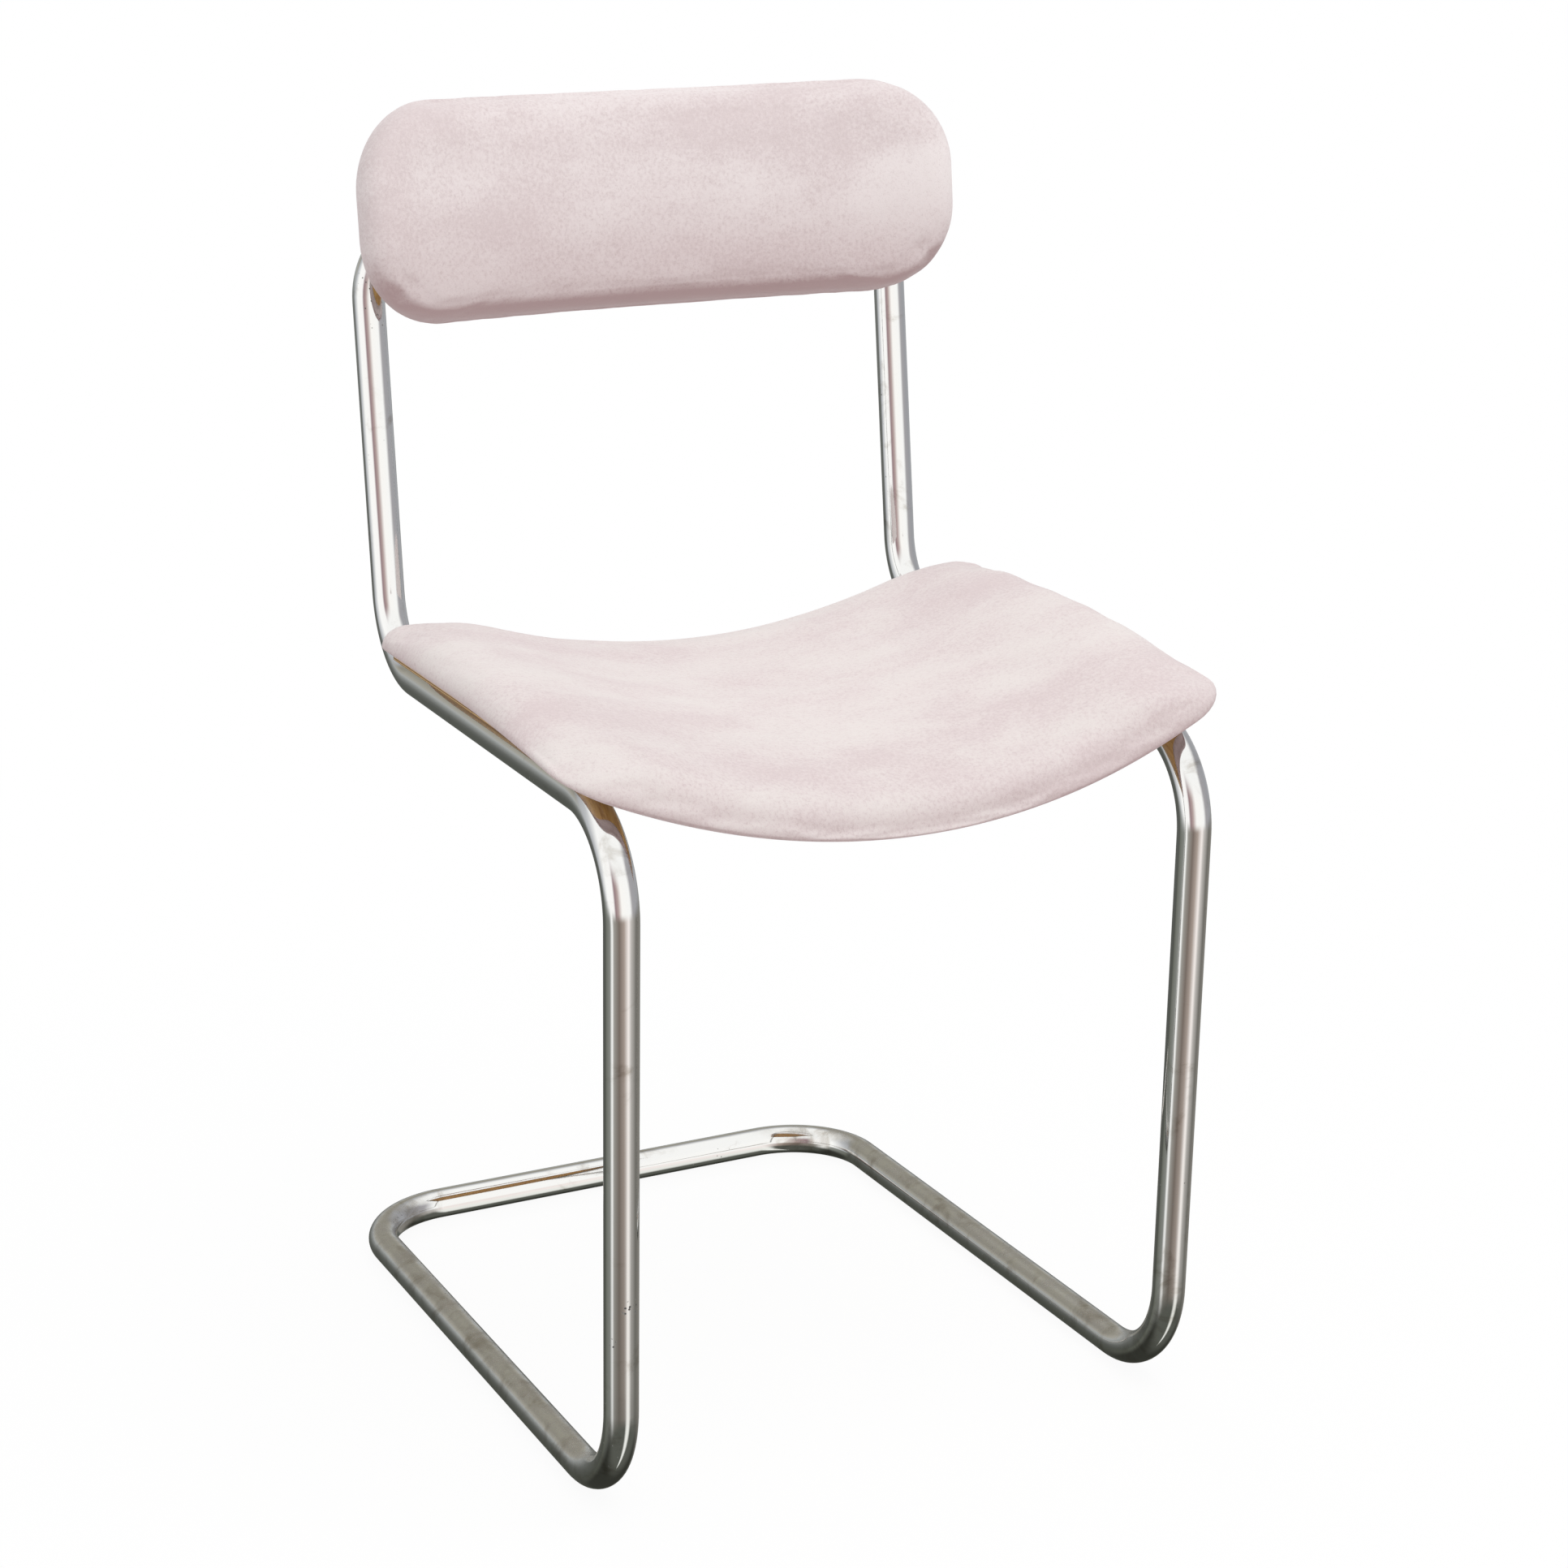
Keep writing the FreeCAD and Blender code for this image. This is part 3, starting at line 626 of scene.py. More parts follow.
@dataclass(frozen=True)
class Plywood(Finish):
    """Plywood with grain on its faces and its layers on its edges."""

    light: tuple = linear(206, 160, 96)
    dark: tuple = linear(150, 100, 48)
    edge_light: tuple = linear(214, 176, 118)
    edge_dark: tuple = linear(120, 82, 46)
    grain: Grain = Grain.LENGTHWISE
    lacquer: float = 0.6
    layers: int = 5
    broad: tuple = (1.0, 6, 0.6, 0.5)
    fine: tuple = (9.0, 4, 0.7, 0.2)

    def surface(self, tree: Tree) -> dict[str, Any]:
        """Grain is noise stretched along the board; layers come from the attribute "veneer".

        Args:
            tree: the tree that the nodes go to.

        Returns:
            The shader's inputs.
        """
        stretched = tree.place(Scale=self.grain.value)
        broad, fine = tree.noise(*self.broad, stretched), tree.noise(*self.fine, stretched)
        face = tree.mix((broad * 0.7 + fine * 0.3).step(0.34, 0.66), self.dark, self.light)
        depth = tree.add("ShaderNodeAttribute", {"attribute_name": "veneer"}, output="Fac")
        beat = (depth * self.layers).to_and_fro().step(0.35, 0.65)
        edge = tree.mix(beat, self.edge_dark, self.edge_light)
        inside = depth.step(0.01, 0.03) * depth.step(0.99, 0.97)
        return {
            "Base Color": tree.mix(inside, face, edge),
            "Roughness": 0.42 + fine * 0.16,
            "Coat Weight": self.lacquer,
            "Coat Roughness": 0.14,
            "Normal": tree.bump(fine, 0.05 * MM),
        }


@dataclass(frozen=True)
class Velvet(Finish):
    """Pale pink velvet: marbled by the lie of its nap, with a fine grain.

    drift moves the marbling, shade is a step of height below which it is deeper pink, and turned is
    a step of how much the surface faces up, below which the deeper pink is painted shade.
    """

    cream: tuple = linear(233, 225, 222)
    pink: tuple = linear(226, 212, 212)
    # The deeper pink: painted shade on faces that turn down, and the velvet's own darker tone.
    shade_and_tone_pink: tuple = linear(176, 152, 152)
    drift: tuple = (0.0, 0.0, 0.0)
    shade: tuple | None = None
    # Falling step of facing up: what faces down gets painted shade.
    turned: tuple = (0.90, -0.45)
    contrast: float = 0.11
    drawn: tuple = (0.55, 1.0, 1.0)
    marble: tuple = (24.0, 5, 0.58, 0.25)
    patches: tuple = (8.0, 4, 0.5, 0.3)
    flecks: tuple = (420.0, 3, 0.7, 0.3)
    pile: tuple = (1300.0, 2, 0.6, 0.0)

    def surface(self, tree: Tree) -> dict[str, Any]:
        """Soft clouds drawn out across the nap, and a fine pile; what faces down is deeper pink as
        painted shade.

        Args:
            tree: the tree that the nodes go to.

        Returns:
            The shader's inputs.
        """
        base = tree.place(Location=self.drift)
        drawn = tree.add("ShaderNodeMapping", {}, {"Vector": base, "Scale": self.drawn})
        marble, patches = tree.noise(*self.marble, drawn), tree.noise(*self.patches, drawn)
        fleck, pile = tree.noise(*self.flecks, base), tree.noise(*self.pile, base)
        mottle = marble * 0.34 + patches * 0.46 + fleck * 0.20
        pale = mottle.step(0.5 - self.contrast, 0.5 + self.contrast)
        # Deeper pink towards the bottom of the pad, by height.
        lower_part = base.axis("Z").step(*self.shade) if self.shade else 0.0
        clouded = (mottle * 0.7 + fleck * 0.3).step(0.52, 0.40)
        dark_pile = (pile * 0.6 + fleck * 0.4).step(0.50, 0.34)
        # Painted shade: faces that turn down take the deeper pink.  The darker clouds and pile are
        # the velvet's own tone, and the height step makes the lower part deeper pink.
        depth = (tree.upward().step(*self.turned) * 0.78 + clouded * 0.12
                 + lower_part * 0.42 * (0.6 + mottle * 0.8) + dark_pile * 0.16)
        top = tree.mix(pale, self.pink, self.cream)
        return {
            "Base Color": tree.mix(depth.clipped(), top, self.shade_and_tone_pink),
            "Roughness": 0.92,
            "Specular IOR Level": 0.15,
            "Sheen Weight": 0.30,
            "Sheen Roughness": 0.45,
            "Normal": tree.bump(pile * 0.6 + fleck * 0.4, 0.5 * MM, 0.6),
        }


@dataclass(frozen=True)
class Matte(Finish):
    """A plain matte material with a faint mottle."""

    colour: tuple = linear(40, 40, 41)
    cloud: tuple = linear(58, 57, 56)
    clouds: tuple = (600.0, 3, 0.6)

    def surface(self, tree: Tree) -> dict[str, Any]:
        """A fine mottle of two near colours.

        Args:
            tree: the tree that the nodes go to.

        Returns:
            The shader's inputs.
        """
        mottle = tree.noise(*self.clouds)
        return {
            "Base Color": tree.mix(mottle, self.colour, self.cloud),
            "Roughness": 0.6 + mottle * 0.2,
            "Normal": tree.bump(mottle, 0.04 * MM),
        }


CHROME = AgedChrome("aged_chrome", "chrome")
PLATED = Plating("zinc_plating", "plated_steel")
LACQUERED = Plywood("golden_plywood", "lacquered_plywood")
LACQUERED_ACROSS = Plywood("golden_plywood_across", "lacquered_plywood", grain=Grain.ACROSS)
BARE_PLY = Plywood("bare_plywood", "raw_plywood", linear(214, 186, 144), linear(186, 152, 104),
                   grain=Grain.ACROSS, lacquer=0.0)
SEAT_VELVET = Velvet("seat_velvet_nap", "velvet")
# Backrest velvet: deeper pink towards the bottom, and painted shade only on faces that turn well
# down.
BACK_VELVET = Velvet("back_velvet_nap", "velvet", linear(237, 228, 227), linear(226, 213, 213),
                     drift=(3.1, 1.7, 0.0), shade=(0.81, 0.71), turned=(-0.05, -0.8))
SPACER = Matte("spacer_black", "spacer_plastic")


def dressed(piece: Piece, finish: Finish) -> Piece:
    """Puts a finish on a new piece and lets it ride on the chair.

    Args:
        piece: the piece.
        finish: its only finish.

    Returns:
        The same piece.
    """
    piece.data.materials.clear()
    piece.data.materials.append(finish.material())
    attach(piece, "root")
    return piece


# The chair
@dataclass(frozen=True)
class FrameSizes:
    """Sizes of the tube, as they are in the source of the solids."""

    tube: float = 22 * MM
    side_spacing: float = 395 * MM
    base_depth: float = 514 * MM
    rail_height: float = 462.5 * MM
    rail_length: float = 409 * MM
    bar_height: float = 778 * MM
    leg_lean: float = 4.5
    rail_slope: float = 1.5
    back_lean: float = 3.8
    bends: tuple = (56 * MM, 56 * MM, 61 * MM, 73 * MM, 64 * MM)
    seam: float = 0.3 * MM
    seat_reach: float = 7.5 * MM

    @property
    def radius(self) -> float:
        """Outside radius of the tube."""
        return self.tube / 2

    def corners(self) -> dict[str, Array]:
        """The corners of the centre line on one side.

        Returns:
            Points by name.  The chair is centred in Y between the seat's front edge and the rear
            of the crossbar, and each lean moves a corner by height * tan(angle).
        """
        ahead = (self.rail_height - self.radius) * math.tan(math.radians(self.leg_lean))
        slope, lean = math.radians(self.rail_slope), math.radians(self.back_lean)
        foremost = ahead + self.seat_reach * math.cos(slope)
        floor_y = (foremost - self.base_depth - self.radius) / 2
        half = self.side_spacing / 2
        rail_front = np.array([half, floor_y - ahead, self.rail_height])
        rail_rear = rail_front + self.rail_length * np.array([0, math.cos(slope), math.sin(slope)])
        rise = self.bar_height - rail_rear[2]
        return {
            "floor_rear": np.array([half, floor_y + self.base_depth, self.radius]),
            "floor_front": np.array([half, floor_y, self.radius]),
            "rail_front": rail_front,
            "rail_rear": rail_rear,
            "bar": rail_rear + np.array([0, rise * math.tan(lean), rise]),
        }

    def seat_origin(self) -> Array:
        """Origin of the seat's own frame: on top of the rails at their front corners."""
        slope = math.radians(self.rail_slope)
        place = self.corners()["rail_front"] * np.array([0, 1, 1])
        return place + self.radius * np.array([0, -math.sin(slope), math.cos(slope)])

    def back_origin(self) -> Array:
        """Origin of the backrest's own frame: on the centre line of its bar."""
        return self.corners()["bar"] * np.array([0, 1, 1])


@dataclass(frozen=True)
class SeatSurfaces:
    """The seat's curved surfaces in its own frame: X across, Y along the rails, Z up.

    A roll is the length and the drop of a part that curves down in front, and thinning is alike.
    """

    half_width: float = 228.6 * MM
    front: float = -7.5 * MM
    rear: float = 351.0 * MM
    bow: float = 18.5 * MM
    bow_fade: tuple = (140 * MM, 50 * MM)
    rear_corner: float = 19 * MM
    front_corner: float = 28 * MM
    least_corner: float = 4 * MM
    front_hollow: float = 507 * MM
    rear_hollow: float = 538 * MM
    half_gauge: float = 197.5 * MM
    tube: float = 11 * MM
    shell_gap: float = 2.5 * MM
    shell_roll: tuple = (110 * MM, 11.4 * MM)
    fabric_gap: float = 1.2 * MM
    fabric_roll: tuple = (228 * MM, 11.4 * MM)
    fabric_low: float = 5.0 * MM
    fabric_high: float = 36.6 * MM
    thinning: tuple = (248 * MM, 5.3 * MM)
    sitting_hollow: float = 457 * MM
    shoulder_start: float = 149 * MM
    shoulder: float = 155 * MM
    cover_low: float = 4.1 * MM

    def outline(self, side_inset: float, end_inset: float, step: float = 5 * MM) -> Array:
        """The seat's plan: a rectangle with round corners whose front edge bows forward.

        Args:
            side_inset: how far inside the sides it lies.
            end_inset: how far inside the front and the rear.
            step: distance between points.

        Returns:
            Rows of x, y.  The front side is moved forward by bow * (1 - (x / half)^2).
        """
        half, rear = self.half_width - side_inset, self.rear - end_inset
        shoulder = self.front + self.bow + end_inset
        corners = [[half, shoulder, 0], [half, rear, 0], [-half, rear, 0], [-half, shoulder, 0]]
        front, back = (max(corner - side_inset, self.least_corner)
                       for corner in (self.front_corner, self.rear_corner))
        path = RoundedPath(np.array(corners), (front, back, back, front), True)
        flat = path.outline(step)[:, :2]
        near_front = smoothstep(*self.bow_fade, flat[:, 1])
        flat[:, 1] -= self.bow * (1 - (flat[:, 0] / half) ** 2) * near_front
        return flat

    def hollow(self, y: Array) -> Array:
        """Radius of the hollow across the seat at y, which changes evenly towards the rear."""
        share = (y - self.front) / (self.rear - self.front)
        return self.front_hollow + (self.rear_hollow - self.front_hollow) * share

    def arc(self, x: Array, y: Array, gap: float, roll: tuple) -> Array:
        """Height of a hollow layer that clears the rails by a gap and curves down in front.

        Args:
            x: across.
            y: along.
            gap: distance from the tube.
            roll: length and drop of the part that curves down.

        Returns:
            Heights: the circle's centre less sqrt(radius^2 - x^2), less drop * share^2.
        """
        radius = self.hollow(y)
        centre = np.sqrt((radius + self.tube + gap) ** 2 - self.half_gauge ** 2) - self.tube
        share = np.clip(1 - (y - self.front) / roll[0], 0, None)
        return centre - np.sqrt(radius ** 2 - x ** 2) - roll[1] * share ** 2

    def shell_under(self, x: Array, y: Array) -> Array:
        """Underside of the closing shell."""
        return self.arc(x, y, self.shell_gap, self.shell_roll)

    def cover_base(self, x: Array, y: Array) -> Array:
        """Height at which the cover lies on the shell."""
        return self.shell_under(x, y) + self.cover_low

    def fabric_under(self, x: Array, y: Array) -> Array:
        """Lower edge of the velvet as it hangs at the sides."""
        return self.arc(x, y, self.fabric_gap, self.fabric_roll) + self.fabric_low

    def sitting(self, x: Array, y: Array) -> Array:
        """The sitting surface: a hollow arc between two rolled shoulder arcs that touch it.

        Args:
            x: across.
            y: along.

        Returns:
            Heights above the rails.
        """
        share = np.clip(1 - (y - self.front) / self.thinning[0], 0, None)
        floor = self.arc(np.zeros_like(x), y, self.fabric_gap, self.fabric_roll) + self.fabric_high
        floor = floor - self.thinning[1] * share ** 2
        hollow, shoulder, start = self.sitting_hollow, self.shoulder, self.shoulder_start
        turn = math.asin(start / hollow)
        crest = start + shoulder * math.sin(turn)
        centre = hollow - (hollow + shoulder) * math.cos(turn)
        away = np.abs(x)
        inner = hollow - np.sqrt(hollow ** 2 - np.minimum(away, start) ** 2)
        outer = centre + np.sqrt(shoulder ** 2 - np.maximum(away - crest, start - crest) ** 2)
        return floor + np.where(away < start, inner, outer)


@dataclass(frozen=True)
class TubeFrame:
    """The one bent tube that is the whole frame, with the access holes of the seat screws."""

    sizes: FrameSizes = field(default_factory=FrameSizes)
    surfaces: SeatSurfaces = field(default_factory=SeatSurfaces)
    around: int = 56
    rim: float = 0.35 * MM
    screw_places: tuple = (92 * MM, 277 * MM)
    head_hole: float = 6.3 * MM
    hole_top: float = 8 * MM
    tube_below: float = 16 * MM
    hole_around: int = 40
    sharp_angle: float = 35.0

    def path(self) -> RoundedPath:
        """Centre line from the joint round the chair and back to the joint.

        Returns:
            The open path; its left half mirrors its right half.
        """
        names = ["bar", "rail_rear", "rail_front", "floor_front", "floor_rear"]
        right = np.array([self.sizes.corners()[name] for name in names])
        joint = right[0] * np.array([0, 1, 1]) + np.array([self.sizes.seam / 2, 0, 0])
        mirror = np.array([-1, 1, 1])
        corners = np.vstack([joint, right, right[::-1] * mirror, joint * mirror])
        return RoundedPath(corners, self.sizes.bends + self.sizes.bends[::-1])

    def build(self) -> Piece:
        """Sweeps a circle along the path.

        Returns:
            The tube's piece.  Each point is centre + radius * (cos a * first + sin a * second).  At
            both ends a ring that is smaller by the rim stands for the broken edge.
        """
        centres, first, second = (np.repeat(part, [2] + [1] * (len(part) - 2) + [2], axis=0)
                                  for part in self.path().sampled())
        radius = np.full(len(centres), self.sizes.radius)
        radius[[0, -1]] -= self.rim
        angle = np.linspace(0, FULL_TURN, self.around, endpoint=False)[None, :, None]
        rings = centres[:, None] + radius[:, None, None] * (
            np.cos(angle) * first[:, None] + np.sin(angle) * second[:, None])
        piece = closed_rings("frame_tube_chrome", rings, [centres[:1], centres[-1:]])
        for side in (-1, 1):
            for along in self.screw_places:
                self._bore(piece, side, along)
        piece.data.set_sharp_from_angle(angle=math.radians(self.sharp_angle))
        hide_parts("frame_tube")
        return dressed(piece, CHROME)

    def _bore(self, piece: Piece, side: int, along: float) -> None:
        """Bores one hole below a rail, in which the head of a seat screw lies.

        Args:
            piece: the tube.  The hole is a cylinder along the screw, from below the rail to just
                under the tube's upper wall.
            side: 1 for the right rail and -1 for the left one.
            along: distance of the screw along the rail.
        """
        surfaces = self.surfaces
        reach = float(surfaces.hollow(np.array(along))) + surfaces.tube + surfaces.shell_gap
        axis = unit(np.array([-side * surfaces.half_gauge, 0,
                              math.sqrt(reach ** 2 - surfaces.half_gauge ** 2)]))
        centre = np.array([side * surfaces.half_gauge, along, -surfaces.tube])
        across, backward = np.cross(axis, [0, 1, 0]), np.array([0, 1, 0])
        angle = np.linspace(0, FULL_TURN, self.hole_around, endpoint=False)[:, None]
        circle = self.head_hole * (np.cos(angle) * across + np.sin(angle) * backward)
        poles = np.stack([centre - axis * self.tube_below, centre + axis * self.hole_top])[:, None]
        rings, poles = (turned_about_x(part, self.sizes.rail_slope, self.sizes.seat_origin())
                        for part in (poles + circle, poles))
        cutter = closed_rings("cutter", rings, poles)
        cut = piece.modifiers.new("hole", "BOOLEAN")
        cut.object = cutter
        cut.solver = "EXACT"
        applied(piece)
        bpy.data.objects.remove(cutter)


@dataclass(frozen=True)
class BackSurfaces:
    """The backrest's surfaces in its own frame: X across, Z up along its lean, Y to the rear."""

    half_width: float = 218 * MM
    half_height: float = 73.75 * MM
    rise: float = 3.6 * MM
    corner: float = 60 * MM
    curve: float = 672 * MM
    tube: float = 11 * MM
    gap: float = 1.2 * MM
    cover_low: float = 4.1 * MM
    high: float = 32.2 * MM

    def outline(self, inset: float, step: float) -> Array:
        """The backrest's outline: a rectangle with large round corners.

        Args:
            inset: how far inside the edge it lies.
            step: distance between points.

        Returns:
            Rows of x, z.
        """
        half, tall = self.half_width - inset, self.half_height - inset
        low, high = self.rise - tall, self.rise + tall
        corners = np.array([[half, low, 0], [half, high, 0], [-half, high, 0], [-half, low, 0]])
        return RoundedPath(corners, (self.corner - inset,) * 4, True).outline(step)[:, :2]

    def place(self, x: Array, z: Array, lift: Array) -> Array:
        """Points at a lift in front of the rear face, which is a cylinder about an upright axis.

        Args:
            x: across.
            z: up.
            lift: distance in front of the rear face.

        Returns:
            Rows of x, y, z with y = axis + sqrt((curve - lift)^2 - x^2).
        """
        axis = -(self.tube + self.gap + self.curve)
        return np.stack([x, axis + np.sqrt((self.curve - lift) ** 2 - x ** 2), z], axis=-1)


@dataclass
class Disc:
    """The places of a closed body over an outline, as rings round a pole."""

    outline: Array
    rings: int = 40
    edge_power: float = 2.2

    def spread(self) -> tuple[Array, Array, Array]:
        """Flat places of the rings and their distance from the outline.

        Returns:
            x and y of each ring's points, one row for each ring from the pole outwards, and how far
            each lies inside the outline.  Rings crowd towards the rim by 1 - (1 - t)^power.
        """
        middle = (self.outline.max(0) + self.outline.min(0)) / 2
        share = 1 - (1 - np.linspace(0, 1, self.rings + 1)) ** self.edge_power
        arms = self.outline - middle
        ahead = np.roll(self.outline, -1, axis=0) - np.roll(self.outline, 1, axis=0)
        outward = unit(np.stack([ahead[:, 1], -ahead[:, 0]], axis=-1))
        reach = np.abs(np.sum(arms * outward, axis=1))
        flat = middle + share[:, None, None] * arms
        return flat[..., 0], flat[..., 1], (1 - share)[:, None] * reach


@dataclass(frozen=True)
class Rim:
    """How the two faces of a pad are drawn together at its edge, by quarter ellipses."""

    under: float
    upper_share: float

    @staticmethod
    def drawn(inside: Array, reach: Array | float) -> Array:
        """Share of the way that a face is drawn.

        Args:
            inside: distance of each point from the edge.
            reach: distance at which the drawing begins.

        Returns:
            1 - sqrt(1 - (1 - inside / reach)^2), and 0 beyond the reach.
        """
        short = 1 - np.clip(inside / reach, 0, 1)
        return 1 - np.sqrt(1 - short ** 2)

    def joined(self, low: Array, high: Array, inside: Array,
               reach: Array | float) -> tuple[Array, Array]:
        """Both faces, meeting at the edge.

        Args:
            low: the lower face's heights, one row for each ring, the edge last.
            high: the upper face's heights.
            inside: distance of each point from the edge.
            reach: how far in the upper rounding begins.

        Returns:
            Both faces again.  The upper rounding takes upper_share of the edge's height.
        """
        wall = (high - low)[-1]
        high = high - self.drawn(inside, reach) * wall * self.upper_share
        low = low + self.drawn(inside, self.under) * wall * (1 - self.upper_share)
        return low, high


def pad_body(name: str, x: Array, y: Array, low: Array, high: Array, place: Callable) -> Piece:
    """A closed piece between two faces that meet at their last ring.

    Args:
        name: the piece's name.
        x: across, one row for each ring, the pole first.
        y: along.
        low: the lower face's heights.
        high: the upper face's heights.
        place: turns x, y and height into points.

    Returns:
        The piece.
    """
    rings = np.concatenate([place(x, y, high)[1:], place(x, y, low)[1:-1][::-1]])
    poles = [place(x[0, :1], y[0, :1], part[0, :1]) for part in (high, low)]
    return closed_rings(name, rings, poles, turned=True)


EDGE_ROWS = 5
EDGE_ANGLE = math.radians(40)


def plywood_panel(name: str, disc: Disc, lower: Callable, thickness: float,
                  place: Callable) -> Piece:
    """A curved plywood panel with square edges and the attribute "veneer" through its thickness.

    Args:
        name: the piece's name.
        disc: the rings.
        lower: height of its lower face at x, y.
        thickness: of the panel.
        place: turns x, y and height into points.

    Returns:
        The piece; veneer runs from 0 on the lower face to 1 on the upper one.
    """
    x, y, _ = disc.spread()
    low = lower(x, y)
    steps = np.linspace(1, 0, EDGE_ROWS + 2)[1:-1]
    edge_x, edge_y, edge_low = (np.repeat(part[-1:], len(steps), 0) for part in (x, y, low))
    rings = np.concatenate([
        place(x, y, low + thickness)[1:],
        place(edge_x, edge_y, edge_low + thickness * steps[:, None]),
        place(x, y, low)[1:][::-1],
    ])
    poles = [place(x[0, :1], y[0, :1], low[0, :1] + lift) for lift in (thickness, 0)]
    piece = closed_rings(name, rings, poles, turned=True)
    depth = np.concatenate([np.ones(len(x) - 1), steps, np.zeros(len(x) - 1)])
    veneer = np.concatenate([np.repeat(depth, x.shape[1]), [1.0, 0.0]]).astype(np.float32)
    piece.data.attributes.new("veneer", "FLOAT", "POINT").data.foreach_set("value", veneer)
    piece.data.set_sharp_from_angle(angle=EDGE_ANGLE)
    return piece


CLOTH_SETTINGS = {
    "quality": 5,
    "mass": 0.3,
    "tension_stiffness": 15,
    "compression_stiffness": 15,
    "bending_stiffness": 0.8,
    "use_pressure": True,
}


@dataclass(frozen=True)
class Stuffing:
    """How a pad is filled out by a cloth simulation, and creased."""

    voxel: float = 4.5 * MM
    pressure: float = 4.0
    most: float = 3.0 * MM
    frames: int = 20
    neighbours: int = 8
    crease: float = 0.5 * MM
    creases: int = 9
    crease_length: tuple = (38 * MM, 95 * MM)
    headings: tuple = (-0.5, 0.5)
    phases: tuple = (0, 6)
    wander: float = 9 * MM
    wander_length: float = 60 * MM
    fade_length: tuple = (70 * MM, 150 * MM)
    seed: int = 3

    def fill(self, piece: Piece, held: Callable[[Array, Array], Array]) -> None:
        """Inflates the piece like stretched cloth over foam, and creases it softly.

        Args:
            piece: a closed mesh.
            held: gives each point's freedom, 0 held and 1 free, from points and normals.
        """
        start, normals = vertex_points(piece.data), vertex_normals(piece.data)
        moved = np.zeros_like(start)
        moved = self._carried(start, *self._simulated(piece, held))
        moved += normals * self._creases(start)[:, None]
        set_points(piece.data, start + moved * held(start, normals)[:, None])
        piece.data.shade_smooth()

    def _carried(self, points: Array, cage: Array, moved: Array) -> Array:
        """How far each point moves with the coarse copy round it.

        Args:
            points: rows of x, y, z.
            cage: the coarse copy's points before it was filled.
            moved: how far each of them moved.

        Returns:
            The mean move of the nearest ones, each weighted by 1 / (distance^2 + 1 mm^2).
        """
        tree = KDTree(len(cage))
        for index, point in enumerate(cage.tolist()):
            tree.insert(point, index)
        tree.balance()
        nearest = [tree.find_n(point, self.neighbours) for point in points.tolist()]
        rows = np.array([[hit[1] for hit in hits] for hits in nearest])
        weights = 1 / (np.array([[hit[2] for hit in hits] for hits in nearest]) ** 2 + MM ** 2)
        return np.sum(moved[rows] * weights[..., None], axis=1) / weights.sum(1, keepdims=True)

    @staticmethod
    def fitted(own: Array, column: int, low: float, high: float) -> None:
        """Stretches one column of points evenly.

        Args:
            own: rows of x, y, z, which are changed.
            column: 0, 1 or 2.
            low: its least value afterwards.
            high: its greatest value afterwards.
        """
        least, most = own[:, column].min(), own[:, column].max()
        own[:, column] = low + (own[:, column] - least) * (high - low) / (most - least)

    def _simulated(self, piece: Piece,
                   held: Callable[[Array, Array], Array]) -> tuple[Array, Array]:
        """Fills a coarse, even copy of the piece with inner pressure.

        Args:
            piece: the closed mesh, which stays as it is.
            held: gives each point's freedom.

        Returns:
            The copy's points and how far each one moved, at most self.most.
        """
        scene = bpy.context.scene
        cage = bpy.data.objects.new("cage", piece.data.copy())
        scene.collection.objects.link(cage)
        remesh = cage.modifiers.new("even", "REMESH")
        remesh.mode = "VOXEL"
        remesh.voxel_size = self.voxel
        applied(cage)
        start = vertex_points(cage.data)
        free = held(start, vertex_normals(cage.data))
        group = cage.vertex_groups.new(name="held")
        group.add(np.flatnonzero(free < 0.5).tolist(), 1.0, "REPLACE")
        cloth = cage.modifiers.new("filled", "CLOTH")
        for key, value in CLOTH_SETTINGS.items():
            setattr(cloth.settings, key, value)
        cloth.settings.uniform_pressure_force = self.pressure
        cloth.settings.effector_weights.gravity = 0.0
        cloth.settings.vertex_group_mass = group.name
        cloth.point_cache.frame_start = 1
        cloth.point_cache.frame_end = self.frames
        for frame_number in range(1, self.frames + 1):
            scene.frame_set(frame_number)
        applied(cage)
        scene.frame_set(1)
        moved = vertex_points(cage.data) - start
        length = np.linalg.norm(moved, axis=1, keepdims=True)
        bpy.data.objects.remove(cage)
        return start, moved * np.minimum(1, self.most / np.maximum(length, 1e-9))

    def _creases(self, points: Array) -> Array:
        """Soft wandering creases across the pad.

        Args:
            points: rows of x, y, z.

        Returns:
            A height for each row: a sum of sines along turned directions, each bent by another sine
            and faded in and out over the pad.
        """
        random = np.random.default_rng(self.seed)
        x, y, z = points.T
        total = np.zeros(len(points))
        for _ in range(self.creases):
            heading = random.uniform(*self.headings)
            across, along = math.sin(heading), math.cos(heading)
            length = random.uniform(*self.crease_length)
            side = x * along - y * across
            bend = self.wander * np.sin(side / self.wander_length + random.uniform(*self.phases))
            place = y * along + z * along * 0.8 + x * across + bend
            fade = np.sin(side / random.uniform(*self.fade_length) + random.uniform(*self.phases))
            wave = np.sin(FULL_TURN * place / length + random.uniform(*self.phases))
            total += wave * (0.5 + 0.5 * fade) ** 2
        return total * self.crease / 3


